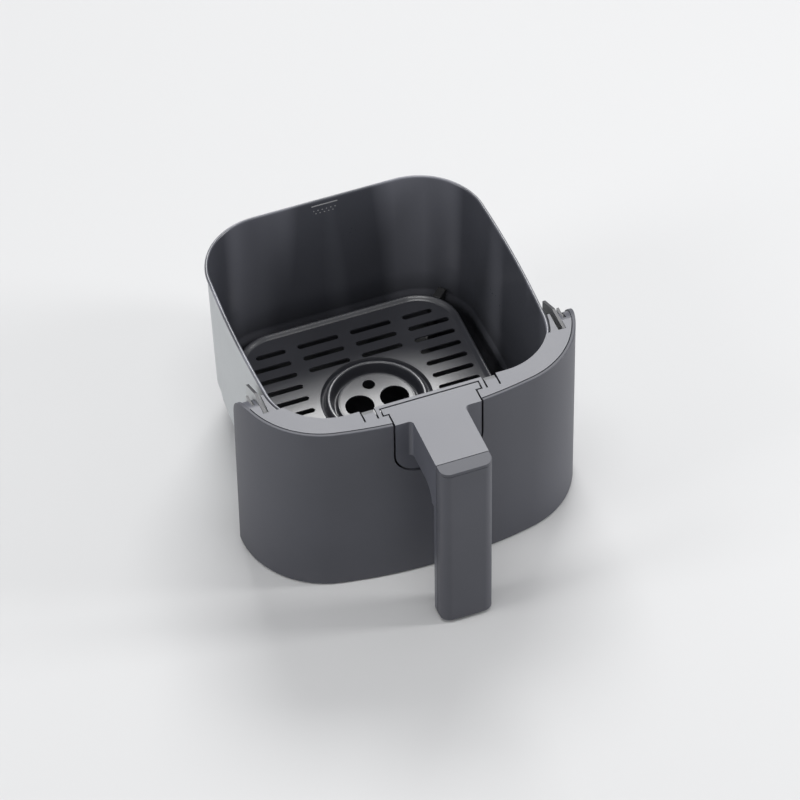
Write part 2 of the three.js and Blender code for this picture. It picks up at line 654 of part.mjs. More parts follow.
// ---- bracket and heat shield -----------------------------------------------------------
function makeBracket() {
  const sheet = BRACKET_SHEET;
  const back = RIM_ROLL - FIT;
  const half = BRACKET_HALF;
  const plan = [
    [-half - BRACKET_FLANGE, back - sheet],
    [-half, back - sheet],
    [-half, BRACKET_FRONT],
    [half, BRACKET_FRONT],
    [half, back - sheet],
    [half + BRACKET_FLANGE, back - sheet],
    [half + BRACKET_FLANGE, back],
    [half - sheet, back],
    [half - sheet, BRACKET_FRONT + sheet],
    [-half + sheet, BRACKET_FRONT + sheet],
    [-half + sheet, back],
    [-half - BRACKET_FLANGE, back],
  ].map(([x, y]) => [x, fromRim(y)]);
  const holes = shieldScrewPlaces().map(({ x, z }) =>
    rod(x, fromRim(BRACKET_FRONT), z, SCREW_RADIUS + FIT, 8, "y")
  );
  return toMesh("pan_bracket", cut(prism(plan, BRACKET_LOW, BRACKET_HIGH), holes), steel);
}

function makeBaffle() {
  const end = GUIDE_START - BAFFLE_CLEARANCE;
  const band = frontBand(BAFFLE_OFFSET, BAFFLE_OFFSET + BAFFLE_SHEET, end, BAFFLE_LOW, BAFFLE_HIGH);
  const window = box(-BAFFLE_WINDOW, BAFFLE_WINDOW, fromRim(-30), fromRim(10), BRACKET_LOW - 8, 400);
  return toMesh("heat_shield", band.subtract(window), steel);
}

// ---- crisper plate -----------------------------------------------------------------------
const PLATE_HALF_X = PAN_WIDTH / 2 - PLATE_SIDE_GAP;
const PLATE_HALF_Y = PAN_DEPTH / 2 - PLATE_SIDE_GAP;
const PLATE_CENTRE_Y = PAN_CENTRE_Y + PLATE_CENTRE_BACK;
const FLAT_HALF_X = PLATE_HALF_X - PLATE_RIM_WIDTH;
const FLAT_HALF_Y = PLATE_HALF_Y - PLATE_RIM_WIDTH;

function plateOutline(inset) {
  const radius = PLATE_CORNER - inset;
  return roundedRect(PLATE_HALF_X - inset, PLATE_HALF_Y - inset, radius, PLATE_CENTRE_Y, 6);
}

function plateBlank() {
  const level = (inset, z) => ({ points: plateOutline(inset), z: PLATE_LEVEL + z });
  const sheet = PLATE_SHEET;
  return loft([
    level(PLATE_RIM_WIDTH + 1, -sheet),
    level(PLATE_RIM_WIDTH - 1.2, -sheet),
    level(sheet + 1.2, PLATE_RIM_RISE - sheet),
    level(sheet, PLATE_RIM_RISE - sheet),
    level(sheet, -PLATE_SKIRT),
    level(0, -PLATE_SKIRT),
    level(0, PLATE_RIM_RISE - 1),
    level(1, PLATE_RIM_RISE),
    level(2, PLATE_RIM_RISE),
    level(PLATE_RIM_WIDTH - 0.8, 0),
    level(PLATE_RIM_WIDTH + 1, 0),
  ]);
}

function slotSolid(x, y, halfLength) {
  const radius = SLOT_WIDTH / 2;
  const end = halfLength - radius;
  const outline = [...arc(x + end, y, radius, -90, 90, 5), ...arc(x - end, y, radius, 90, 270, 5)];
  return prism(outline, PLATE_LEVEL - 9, PLATE_LEVEL + 9);
}

// Slots of one row, left to right; the middle pair is left out beside the ring.
function slotRow(y, rowFromCentre, isLast) {
  const outer = FLAT_HALF_X - SLOT_MARGIN;
  const length = (2 * outer - 3 * SLOT_SPACE) / 4;
  const slots = [];
  for (const side of [-1, 1]) {
    const cutShort = isLast ? CORNER_SLOT_CUT : 0;
    slots.push(slotSolid(side * (outer - cutShort / 2 - length / 2), y, (length - cutShort) / 2));
    if (Math.abs(rowFromCentre) > RING_RADIUS + SLOT_WIDTH / 2) {
      slots.push(slotSolid((side * (SLOT_SPACE + length)) / 2, y, length / 2));
    }
  }
  return slots;
}

function plateSlots() {
  const rowsPerSide = Math.floor((FLAT_HALF_Y - ROW_MARGIN + SLOT_PITCH / 2) / SLOT_PITCH);
  const slots = [];
  for (const side of [-1, 1]) {
    for (let row = 0; row < rowsPerSide; row++) {
      const away = side * SLOT_PITCH * (row + 0.5);
      slots.push(...slotRow(PLATE_CENTRE_Y + away, away, row === rowsPerSide - 1));
    }
  }
  return slots;
}

// Pressed centre: outer groove, raised ridge, deep groove and a flat disc.
function plateCentre() {
  const upper = [
    [DISC_RADIUS, -DISC_DEPTH],
    [DISC_RADIUS + 0.4, -DISC_DEPTH - 0.7],
    [GROOVE_RADIUS - 0.6, -GROOVE_DEPTH],
    [GROOVE_RADIUS + 0.6, -GROOVE_DEPTH],
    [RIDGE_RADIUS - 1.8, RIDGE_RISE - 0.6],
    [RIDGE_RADIUS - 1, RIDGE_RISE],
    [RIDGE_RADIUS + 0.8, RIDGE_RISE],
    [RIDGE_RADIUS + 1.6, RIDGE_RISE - 0.8],
    [RING_RADIUS - 2.6, -MOAT_DEPTH],
    [RING_RADIUS - 1.4, -MOAT_DEPTH],
    [RING_RADIUS, 0],
    [RING_RADIUS + RING_LAP, 0],
  ];
  const lower = upper.map(([radius, z]) => [radius, z - PLATE_SHEET]).reverse();
  const profile = [[0, -DISC_DEPTH], ...upper, ...lower, [0, -DISC_DEPTH - PLATE_SHEET]];
  const geometry = new THREE.LatheGeometry(
    profile.reverse().map(([radius, z]) => new THREE.Vector2(radius, z)),
    48
  );
  geometry.rotateX(Math.PI / 2);
  geometry.translate(0, PLATE_CENTRE_Y, PLATE_LEVEL);
  return toSolid(geometry);
}

function makePlate() {
  const low = PLATE_LEVEL - 15;
  const around = rod(0, PLATE_CENTRE_Y, PLATE_LEVEL, RING_RADIUS + RING_LAP / 2, 30, "z");
  const blank = cut(plateBlank(), [around, ...plateSlots()]);
  const fingers = [-1, 1].map((side) =>
    rod(side * FINGER_HOLE_SPREAD, PLATE_CENTRE_Y, low + 15, FINGER_HOLE_RADIUS, 40, "z")
  );
  const smalls = [-1, 1].map((side) =>
    rod(0, PLATE_CENTRE_Y + side * SMALL_HOLE_BACK, low + 15, SMALL_HOLE_RADIUS, 40, "z")
  );
  return toMesh("crisper_plate", blank.add(cut(plateCentre(), [...fingers, ...smalls])), coated);
}

// Height of the pan's inner face above a circle near a corner of its floor.
function floorHeight(x, y, radius) {
  const flatCorner = PAN_CORNER - LOWER_INSET - BOTTOM_RADIUS;
  const cornerX = PAN_WIDTH / 2 - PAN_CORNER;
  const cornerY = PAN_DEPTH / 2 - PAN_CORNER;
  const away = Math.hypot(Math.abs(x) - cornerX, Math.abs(y - PAN_CENTRE_Y) - cornerY) + radius - flatCorner;
  const bend = BOTTOM_RADIUS - PAN_WALL;
  return PAN_WALL + bend - Math.sqrt(bend ** 2 - Math.max(0, away) ** 2);
}

function makeLeg(name, sideX, sideY) {
  const x = sideX * (PLATE_HALF_X - LEG_INSET);
  const y = PLATE_CENTRE_Y + sideY * (PLATE_HALF_Y - LEG_INSET);
  const high = PLATE_LEVEL - PLATE_SHEET - FIT;
  const low = floorHeight(x, y, LEG_RADIUS) + FIT;
  return toMesh(name, rod(x, y, (low + high) / 2, LEG_RADIUS, high - low, "z"), silicone);
}

// Silicone bumper on the plate's skirt, on the diagonal of one corner. It stops short of the wall.
function makeBumper(name, sideX, sideY) {
  const cornerX = PLATE_HALF_X - PLATE_CORNER;
  const cornerY = PLATE_HALF_Y - PLATE_CORNER;
  const offsetX = PAN_WIDTH / 2 - PAN_CORNER - cornerX;
  const offsetY = PAN_DEPTH / 2 - PAN_CORNER - sideY * PLATE_CENTRE_BACK - cornerY;
  const wallRadius = PAN_CORNER - upperInset(STEP_TOP) - PAN_WALL;
  const along = (offsetX + offsetY) / Math.SQRT2;
  const across = (offsetX - offsetY) / Math.SQRT2;
  const end = along + Math.sqrt(wallRadius ** 2 - across ** 2) - BUMPER_WALL_GAP;
  const inner = PLATE_CORNER + FIT;
  const high = PLATE_LEVEL + PLATE_RIM_RISE - 0.5;
  const profile = [
    [inner, high - BUMPER_HEIGHT],
    [end - 4, high - BUMPER_HEIGHT],
    [end, high - 3.5],
    [end, high - 2],
    [end - 2, high],
    [inner, high],
  ];
  const turn = (Math.atan2(sideY, sideX) * 180) / Math.PI;
  const bumper = prismAlongY(profile, -BUMPER_WIDTH / 2, BUMPER_WIDTH / 2)
    .rotate([0, 0, turn])
    .translate([sideX * cornerX, PLATE_CENTRE_Y + sideY * cornerY, 0]);
  return toMesh(name, bumper, silicone);
}

// ---- assembly ---------------------------------------------------------------------------
const drawer = new THREE.Group();
drawer.name = "air_fryer_drawer";
drawer.add(
  makePan(),
  makeBracket(),
  makeBaffle(),
  makeFascia(),
  makeTrim(),
  makeClip("rim_clip_left", -1),
  makeClip("rim_clip_right", 1),
  makeGuide("side_guide_left", -1),
  makeGuide("side_guide_right", 1),
  makeHandleBody(),
  makeCore(),
  makeCover(),
  makeCap(),
  ...makeGripScrews(),
  ...makeShieldScrews(),
  makePlate()
);
for (const [sideX, wordX] of [[-1, "left"], [1, "right"]]) {
  for (const [sideY, wordY] of [[-1, "front"], [1, "rear"]]) {
    drawer.add(makeLeg(`leg_${wordY}_${wordX}`, sideX, sideY));
    drawer.add(makeBumper(`bumper_${wordY}_${wordX}`, sideX, sideY));
  }
}

export default drawer;
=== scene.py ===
# %% [markdown]
# # An air fryer's drawer
# The object is the drawer of a square air fryer: a coated pan, a slotted crisper plate that lifts
# out of it, a curved front panel and a handle that hangs down in front. The CAD model gives every
# piece its place. This file gives the pieces their finished shapes and surfaces.

# %% Load the CAD model
import math
import bmesh
import bpy
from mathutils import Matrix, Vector


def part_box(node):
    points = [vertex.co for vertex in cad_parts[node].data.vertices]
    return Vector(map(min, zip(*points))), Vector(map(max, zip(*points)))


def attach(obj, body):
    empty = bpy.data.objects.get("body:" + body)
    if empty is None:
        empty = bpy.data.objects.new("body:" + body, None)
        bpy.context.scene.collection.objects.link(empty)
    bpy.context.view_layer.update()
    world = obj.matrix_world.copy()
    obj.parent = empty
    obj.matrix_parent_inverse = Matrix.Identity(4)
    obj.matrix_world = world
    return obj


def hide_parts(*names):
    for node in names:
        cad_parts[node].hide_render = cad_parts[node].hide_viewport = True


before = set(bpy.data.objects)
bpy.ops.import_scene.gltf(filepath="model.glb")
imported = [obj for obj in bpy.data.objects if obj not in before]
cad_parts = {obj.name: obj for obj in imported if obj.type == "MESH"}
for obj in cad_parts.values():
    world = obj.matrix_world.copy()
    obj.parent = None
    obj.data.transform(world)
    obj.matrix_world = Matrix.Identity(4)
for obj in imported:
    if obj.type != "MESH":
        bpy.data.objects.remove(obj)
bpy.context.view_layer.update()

scene = bpy.context.scene
MM = 0.001

# %% [markdown]
# ## The camera
# A long lens from well above the handle, a little to its left, keeps the pan's sides almost
# parallel. The camera is placed by the direction in which it looks and a small roll.

# %% Place the camera
CAMERA_AZIMUTH = -20.04
CAMERA_ELEVATION = 46.87
CAMERA_ROLL = -1.0
CAMERA_DISTANCE = 3.3379
CAMERA_TARGET = Vector((0.01037, 0.0188, 0.0545))
CAMERA_LENS = 220.25


def place_camera():
    azimuth, elevation = math.radians(CAMERA_AZIMUTH), math.radians(CAMERA_ELEVATION)
    roll = math.radians(CAMERA_ROLL)
    level = math.cos(elevation)
    back = Vector((math.sin(azimuth) * level, -math.cos(azimuth) * level, math.sin(elevation)))
    right = Vector((math.cos(azimuth), math.sin(azimuth), 0))
    up = back.cross(right)
    rolled_right = right * math.cos(roll) + up * math.sin(roll)
    rolled_up = up * math.cos(roll) - right * math.sin(roll)
    camera = bpy.data.objects.new("camera", bpy.data.cameras.new("camera"))
    camera.data.lens = CAMERA_LENS
    camera.data.clip_end = 20
    scene.collection.objects.link(camera)
    scene.camera = camera
    for column, direction in enumerate((rolled_right, rolled_up, back)):
        for row in range(3):
            camera.matrix_world[row][column] = direction[row]
    camera.matrix_world.translation = CAMERA_TARGET + back * CAMERA_DISTANCE


place_camera()
print("camera at", [round(value, 3) for value in scene.camera.matrix_world.translation])

# %% [markdown]
# ## Writing shaders as expressions
# A node tree can be built like a sum on paper. `Wire` stands for one output socket and turns
# + - * / into Math nodes; `Tree.add` makes any other node from its type, settings and inputs.
# The same two classes build the Geometry Nodes trees further down.

# %% Wires and trees
class Wire:
    def __init__(self, tree, socket):
        self.tree = tree
        self.socket = socket

    def math(self, operation, first, second):
        inputs = {0: first, 1: second}
        return self.tree.add("ShaderNodeMath", {"operation": operation}, inputs)

    def __add__(self, other):
        return self.math("ADD", self, other)

    def __sub__(self, other):
        return self.math("SUBTRACT", self, other)

    def __rsub__(self, other):
        return self.math("SUBTRACT", other, self)

    def __mul__(self, other):
        return self.math("MULTIPLY", self, other)

    __rmul__ = __mul__


class Tree:
    def __init__(self, nodes):
        self.nodes = nodes

    def add(self, kind, settings=None, inputs=None, out=0):
        node = self.nodes.nodes.new(kind)
        for key, value in (settings or {}).items():
            if key == "stops":
                for element, (position, shade) in zip(node.color_ramp.elements, value):
                    element.position = position
                    element.color = (shade, shade, shade, 1)
            else:
                setattr(node, key, value)
        for key, value in (inputs or {}).items():
            for item in value if isinstance(value, list) else [value]:
                if isinstance(item, Wire):
                    self.nodes.links.new(item.socket, node.inputs[key])
                else:
                    node.inputs[key].default_value = item
        return Wire(self, node.outputs[out]) if node.outputs else None

    def noise(self, place, scale, detail):
        inputs = {"Vector": place, "Scale": scale, "Detail": detail}
        return self.add("ShaderNodeTexNoise", {}, inputs)

    def part(self, place, axis):
        """One coordinate of a place vector."""
        node = self.nodes.nodes.new("ShaderNodeSeparateXYZ")
        self.nodes.links.new(place.socket, node.inputs[0])
        return Wire(self, node.outputs[axis])

    def ramp(self, value, low, high):
        stops = [(low, 0.0), (high, 1.0)]
        return self.add("ShaderNodeValToRGB", {"stops": stops}, {"Fac": value})

    def mix_colour(self, factor, first, second):
        inputs = {0: factor, 6: first, 7: second}
        return self.add("ShaderNodeMix", {"data_type": "RGBA"}, inputs, out=2)


# %% [markdown]
# ## A material in one call
# Every finish here is a principled surface whose colour, roughness and fine relief vary a little
# from place to place. `finish` makes the material and hands its tree and place vector to a short
# recipe, which returns the varying parts.

# %% Make a finish
def finish(name, recipe, **fixed):
    material = bpy.data.materials.new(name)
    material.use_nodes = True
    material.node_tree.nodes.clear()
    tree = Tree(material.node_tree)
    place = tree.add("ShaderNodeTexCoord", out="Object")
    parts = recipe(tree, place)
    relief = tree.add("ShaderNodeBump", {}, {
        "Height": parts["height"], "Strength": parts["strength"], "Distance": parts["depth"]})
    inputs = {"Base Color": parts["colour"], "Roughness": parts["roughness"], "Normal": relief}
    inputs.update(fixed)
    surface = tree.add("ShaderNodeBsdfPrincipled", {}, inputs)
    tree.add("ShaderNodeOutputMaterial", {}, {"Surface": surface})
    return material


def rgb(red, green, blue):
    return (red, green, blue, 1)


# %% [markdown]
# ## Moulded plastic
# Panel, trim and grip are moulded with a fine spark-eroded texture: dull, even, with grains of
# about a third of a millimetre. Two noises at that scale give the relief, and a slow one shifts
# the tint so that large faces aren't dead flat. The trim and the handle's moulding have a lighter,
# glossier shade of it.

# %% Slate plastic
def plastic_recipe(colour, grain, roughness):
    def recipe(tree, place):
        fine = tree.noise(place, grain, 3)
        coarse = tree.noise(place, grain * 0.4, 2)
        slow = tree.noise(place, 14, 3)
        light = tuple(part * 1.12 for part in colour[:3]) + (1,)
        dark = tuple(part * 0.9 for part in colour[:3]) + (1,)
        blend = tree.ramp(slow * 0.6 + fine * 0.4, 0.3, 0.7)
        return {
            "colour": tree.mix_colour(blend, dark, light),
            "roughness": fine * 0.12 + slow * 0.08 + (roughness - 0.1),
            "height": fine * 0.7 + coarse * 0.3,
            "strength": 0.35,
            "depth": 0.00006,
        }
    return recipe


SLATE = finish("slate_plastic", plastic_recipe(rgb(0.064, 0.066, 0.08), 2600, 0.5))
SLATE_TRIM = finish("slate_plastic_trim", plastic_recipe(rgb(0.085, 0.088, 0.106), 2600, 0.36))
print("plastic finishes ready")

# %% [markdown]
# ## Non-stick coating
# The pan's inside and the plate carry a sprayed non-stick coat: dark, half glossy, with a faint
# orange peel and tiny bright flakes. The peel is a soft relief a few millimetres across; the
# flakes come from a very fine noise cut off near its top. Three kinds of light and shade are
# painted into the colour and would not be on a real coat: lighter upright bands are painted
# reflections that stand in for the soft streaks a half-glossy wall mirrors, painted shade darkens
# the sump with depth, and painted shade makes the slots' cut edges nearly black. They stay where
# they are when the light or the view changes.

# %% Coating for pan and plate
def stretched(tree, place, scale_x, scale_y, scale_z):
    return tree.add("ShaderNodeMapping", {}, {"Vector": place, "Scale": (scale_x, scale_y, scale_z)})


def coating_recipe(base, sheen, roughness, sump=(0.0, 0.0)):
    """Below two heights, given in metres, the colour fades to near black: painted shade deep in the pan."""
    def recipe(tree, place):
        speck = tree.ramp(tree.noise(place, 3800, 1), 0.66, 0.74)
        peel = tree.noise(place, 420, 2)
        cloud = tree.noise(place, 22, 4)
        # Painted reflection: stretched noise makes lighter upright bands in the sheen colour.
        painted_reflection = tree.ramp(tree.noise(stretched(tree, place, 24, 24, 2), 1, 1), 0.5, 0.68)
        tone_and_painted_reflection = tree.mix_colour(painted_reflection * 0.85 + cloud * 0.15, base, sheen)
        flaked = tree.mix_colour(speck * 0.05, tone_and_painted_reflection, rgb(0.1, 0.1, 0.11))
        # Painted shade: below the two heights the colour is mixed towards near black.
        level = tree.part(place, "Z")
        above_painted_shade = tree.add("ShaderNodeMapRange", {}, {"Value": level, 1: sump[0] - 0.001, 2: sump[1]})
        return {
            "colour": tree.mix_colour(above_painted_shade, rgb(0.01, 0.01, 0.012), flaked),
            "roughness": cloud * 0.08 + peel * 0.06 + (roughness - 0.07),
            "height": peel,
            "strength": 0.05,
            "depth": 0.00004,
        }
    return recipe


# Heights in metres below which the wall coat's colour fades to painted shade.
SUMP_SHADE = (0.012, 0.055)
WALL_RECIPE = coating_recipe(rgb(0.062, 0.065, 0.078), rgb(0.185, 0.189, 0.216), 0.3, SUMP_SHADE)
COATING = finish("nonstick_coating", WALL_RECIPE, **{"Coat Weight": 0.4, "Coat Roughness": 0.2})
PLATE_COATING = finish("plate_coating",
                       coating_recipe(rgb(0.04, 0.041, 0.049), rgb(0.047, 0.048, 0.057), 0.32),
                       **{"Coat Weight": 0.3, "Coat Roughness": 0.12, "Specular IOR Level": 0.8})
# Near-black painted shade for the slots' cut edges.
CUT_EDGE_SHADE = finish("cut_edge_painted_shade", coating_recipe(rgb(0.008, 0.008, 0.009), rgb(0.012, 0.012, 0.013), 0.6))

# %% [markdown]
# ## Bare metals and silicone
# Outside, the pan is silver-grey lacquered steel with faint vertical drawing marks, made by a
# noise stretched along the height. Bracket, heat shield, strap and screws are zinc-plated, and
# the clips are phosphated, which is a duller grey. Legs and bumpers are black silicone, dull and
# slightly dusty. The fill mark is worn grey print.

# %% Metal and rubber
def silver_recipe(tree, place):
    drawn = tree.noise(stretched(tree, place, 900, 900, 30), 1, 3)
    cloud = tree.noise(place, 16, 3)
    return {
        "colour": tree.mix_colour(cloud, rgb(0.44, 0.46, 0.47), rgb(0.54, 0.56, 0.57)),
        "roughness": drawn * 0.12 + cloud * 0.1 + 0.3,
        "height": drawn,
        "strength": 0.15,
        "depth": 0.00004,
    }


def zinc_recipe(tree, place):
    spangle = tree.add("ShaderNodeTexVoronoi", {}, {"Vector": place, "Scale": 260.0})
    fine = tree.noise(place, 1500, 2)
    return {
        "colour": tree.mix_colour(spangle, rgb(0.5, 0.52, 0.53), rgb(0.66, 0.67, 0.68)),
        "roughness": spangle * 0.15 + fine * 0.1 + 0.25,
        "height": fine,
        "strength": 0.2,
        "depth": 0.00003,
    }


def silicone_recipe(tree, place):
    dust = tree.noise(place, 120, 4)
    fine = tree.noise(place, 2200, 2)
    return {
        "colour": tree.mix_colour(dust, rgb(0.012, 0.012, 0.013), rgb(0.03, 0.03, 0.031)),
        "roughness": dust * 0.2 + 0.55,
        "height": fine,
        "strength": 0.2,
        "depth": 0.00005,
    }


def print_recipe(tree, place):
    worn = tree.noise(place, 900, 3)
    return {
        "colour": tree.mix_colour(worn, rgb(0.34, 0.34, 0.35), rgb(0.5, 0.5, 0.51)),
        "roughness": worn * 0.2 + 0.45,
        "height": worn,
        "strength": 0.1,
        "depth": 0.00002,
    }


def phosphate_recipe(tree, place):
    mottle = tree.noise(place, 700, 3)
    cloud = tree.noise(place, 90, 2)
    return {
        "colour": tree.mix_colour(mottle, rgb(0.1, 0.102, 0.106), rgb(0.16, 0.163, 0.168)),
        "roughness": mottle * 0.15 + cloud * 0.1 + 0.42,
        "height": mottle,
        "strength": 0.2,
        "depth": 0.00004,
    }


SILVER = finish("silver_lacquer", silver_recipe, Metallic=0.55)
PHOSPHATE = finish("phosphated_steel", phosphate_recipe, Metallic=0.3)
ZINC = finish("zinc_plate", zinc_recipe, Metallic=1.0)
SILICONE = finish("black_silicone", silicone_recipe)
PRINT = finish("grey_print", print_recipe)

# %% [markdown]
# ## Outlines and solids
# Most pieces start as an outline made of straight runs and arcs. `prism` lifts an outline into a
# solid along any axis, `loft` skins a stack of outlines, and Boolean and Bevel modifiers cut and
# soften the result. `settle` turns the modified object into a plain mesh.

# %% Outline helpers
def arc(x, y, radius, start, end, steps):
    points = []
    for index in range(steps + 1):
        angle = math.radians(start + (end - start) * index / steps)
        points.append((x + radius * math.cos(angle), y + radius * math.sin(angle)))
    return points


def rounded_rect(half_x, half_y, radius, centre_y=0.0, steps=24):
    x, y = half_x - radius, half_y - radius
    points = arc(x, centre_y + y, radius, 0, 90, steps)
    points += arc(-x, centre_y + y, radius, 90, 180, steps)
    points += arc(-x, centre_y - y, radius, 180, 270, steps)
    points += arc(x, centre_y - y, radius, 270, 360, steps)
    return points


def rectangle(left, right, low, high):
    return [(left, low), (right, low), (right, high), (left, high)]


# %% Mesh helpers
def new_object(name, mesh, *materials):
    for material in materials:
        mesh.materials.append(material)
    piece = bpy.data.objects.new(name, mesh)
    scene.collection.objects.link(piece)
    return piece


def mesh_from(name, points, faces):
    mesh = bpy.data.meshes.new(name)
    mesh.from_pydata([[value * MM for value in point] for point in points], [], faces)
    work = bmesh.new()
    work.from_mesh(mesh)
    bmesh.ops.remove_doubles(work, verts=work.verts, dist=1e-7)
    bmesh.ops.recalc_face_normals(work, faces=work.faces)
    work.to_mesh(mesh)
    work.free()
    return mesh


def prism(outline, low, high, axis="z"):
    """Solid over an outline: drawn in (x, y) for z, (x, z) for y and (y, z) for x."""
    def turn(first, second, along):
        return {"z": (first, second, along), "y": (first, along, second), "x": (along, first, second)}[axis]
    count = len(outline)
    points = [turn(a, b, low) for a, b in outline] + [turn(a, b, high) for a, b in outline]
    faces = [list(range(count)), list(range(count, 2 * count))]
    for index in range(count):
        after = (index + 1) % count
        faces.append([index, after, count + after, count + index])
    return new_object("solid", mesh_from("solid", points, faces))


def block(left, right, front, back, low, high):
    return prism(rectangle(left, right, front, back), low, high)


def loft(name, rings, around=False):
    """Skin over equal outlines, each a list of 3-D points; around joins the last to the first."""
    count = len(rings[0])
    points = [point for ring in rings for point in ring]
    faces = []
    for level in range(len(rings) if around else len(rings) - 1):
        above = (level + 1) % len(rings)
        for index in range(count):
            after = (index + 1) % count
            faces.append([level * count + index, level * count + after, above * count + after,
                          above * count + index])
    if not around:
        faces.append(list(range(count)))
        faces.append([(len(rings) - 1) * count + index for index in range(count)])
    return new_object(name, mesh_from(name, points, faces))


def lathe(name, profile, centre_x, centre_y, steps=96):
    """Solid of revolution about a vertical axis from a closed (radius, z) profile."""
    rings = []
    for index in range(steps):
        angle = 2 * math.pi * index / steps
        rings.append([(centre_x + radius * math.cos(angle), centre_y + radius * math.sin(angle), z)
                      for radius, z in profile])
    return loft(name, rings, around=True)


# %% Modifier helpers
def settle(piece):
    """Replaces the object's mesh with what its modifiers make of it."""
    graph = bpy.context.evaluated_depsgraph_get()
    result = bpy.data.meshes.new_from_object(piece.evaluated_get(graph))
    piece.modifiers.clear()
    piece.data = result
    return piece


def combine(piece, tools, operation="DIFFERENCE"):
    for tool in tools:
        modifier = piece.modifiers.new("cut", "BOOLEAN")
        modifier.object = tool
        modifier.operation = operation
        modifier.solver = "EXACT"
        settle(piece)
        bpy.data.objects.remove(tool)
    return piece


def soften(piece, width, segments=3, angle=35):
    """Rounds every edge sharper than an angle and gives the faces smooth shading."""
    work = bmesh.new()
    work.from_mesh(piece.data)
    bmesh.ops.remove_doubles(work, verts=work.verts, dist=2e-6)
    bmesh.ops.dissolve_limit(work, angle_limit=math.radians(0.4), verts=work.verts, edges=work.edges)
    work.to_mesh(piece.data)
    work.free()
    bevel = piece.modifiers.new("soften", "BEVEL")
    bevel.width = width * MM
    bevel.segments = segments
    bevel.limit_method = "ANGLE"
    bevel.angle_limit = math.radians(angle)
    bevel.harden_normals = False
    settle(piece)
    return smooth(piece)


def smooth(piece, angle=35):
    """Smooth shading that keeps large flat faces flat and real corners sharp."""
    piece.data.polygons.foreach_set("use_smooth", [True] * len(piece.data.polygons))
    work = bmesh.new()
    work.from_mesh(piece.data)
    for edge in work.edges:
        edge.smooth = len(edge.link_faces) == 2 and edge.calc_face_angle() < math.radians(angle)
    work.to_mesh(piece.data)
    work.free()
    weighted = piece.modifiers.new("weighted", "WEIGHTED_NORMAL")
    weighted.keep_sharp = True
    return settle(piece)


def place(piece, name, body, slot, nodes, *materials):
    """Names a finished piece, gives it its finish, hangs it on its body and hides the CAD nodes it
    replaces.
    """
    piece.name = name
    piece.data.name = name
    if materials:
        piece.data.materials.clear()
        for material in materials:
            piece.data.materials.append(material)
    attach(piece, body)
    if nodes:
        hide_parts(*nodes)
    print(f"{name}: {len(piece.data.polygons)} faces")
    return piece


# %% [markdown]
# ## Main sizes
# The pieces below are drawn in millimetres round the pan's rim. The pan is 200 by 205 mm over the
# rim and 144 mm high, its sides bulge a little half-way back, and the trim stands 3 mm above it.

# %% Sizes shared by several pieces
SIDE_CROWN = 1.6
PAN_LOW, PAN_HIGH = (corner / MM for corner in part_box("pan"))
RIM_FRONT = PAN_LOW.y
HALF_WIDTH = PAN_HIGH.x - SIDE_CROWN
HALF_DEPTH = (PAN_HIGH.y - PAN_LOW.y) / 2
CENTRE_Y = (PAN_HIGH.y + PAN_LOW.y) / 2
RIM_HEIGHT = PAN_HIGH.z
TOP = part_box("top_trim")[1].z / MM
RIM_CORNER = 48.7
SHEET = 1.2
FIT = 0.3
# The handle's T-shaped head and U-shaped base, which the panel and the trim make room for.
HEAD_HALF = 34.0
HEAD_FRONT = -3.6
HEAD_BACK = 1.9
NECK_HALF = 30.2
SHIELD_DROP = 47.0
SHIELD_CORNER = 17.0
# Cutting solids only have to reach past what they cut.
ACROSS = 140.0
CUT_LOW, CUT_HIGH = 100.0, 200.0


def from_rim(distance):
    return RIM_FRONT + distance


print("pan rim", round(2 * HALF_WIDTH, 1), "by", round(2 * HALF_DEPTH, 1), "mm, top at", round(TOP, 1))

# %% [markdown]
# ## The pan
# A deep-drawn pan has no corners: walls lean in slightly, step inwards low down, and turn into the
# floor on a wide bend, and the rim is rolled over. One profile of that section, swept round a
# rounded square, makes the whole sheet, inside and outside. The faces between the two ends of the
# rolled rim carry the dark coat, the rest the silver lacquer.

# %% Pan profile
RIM_ROLL = 1.2
ROLL_HEIGHT = 2.6
TAPER = 3.0
STEP_TOP = 38.0
STEP_BOTTOM = 31.0
STEP_INSET = 2.4
FLOOR_BEND = 26.0


def wall_inset(height):
    """How far the outer face of the wall stands in from the rim's edge at a height."""
    upper = RIM_ROLL + TAPER * (RIM_HEIGHT - height) / (RIM_HEIGHT - STEP_TOP)
    if height >= STEP_TOP:
        return upper
    fall = min(1.0, (STEP_TOP - height) / (STEP_TOP - STEP_BOTTOM))
    eased = fall * fall * (3 - 2 * fall)
    return RIM_ROLL + TAPER + STEP_INSET * eased


def sheet_profile(skin):
    """Section of one face of the sheet, from the floor's edge up to just under the rim."""
    radius = FLOOR_BEND - skin
    lower = wall_inset(0)
    profile = [(lower + FLOOR_BEND - out, FLOOR_BEND + up) for out, up in arc(0, 0, radius, -90, 0, 16)]
    heights = [STEP_BOTTOM + (STEP_TOP - STEP_BOTTOM) * part / 8 for part in range(9)]
    heights += [46, 60, 90, 120, RIM_HEIGHT - ROLL_HEIGHT - 0.8]
    return profile + [(wall_inset(height) + skin, height + skin * 0.6) for height in heights]


def side_bulge(y):
    """How far the pan's left and right sides bulge out at a depth."""
    part = (y - CENTRE_Y) / (HALF_DEPTH - RIM_CORNER)
    return SIDE_CROWN * max(0.0, 1 - part * part)


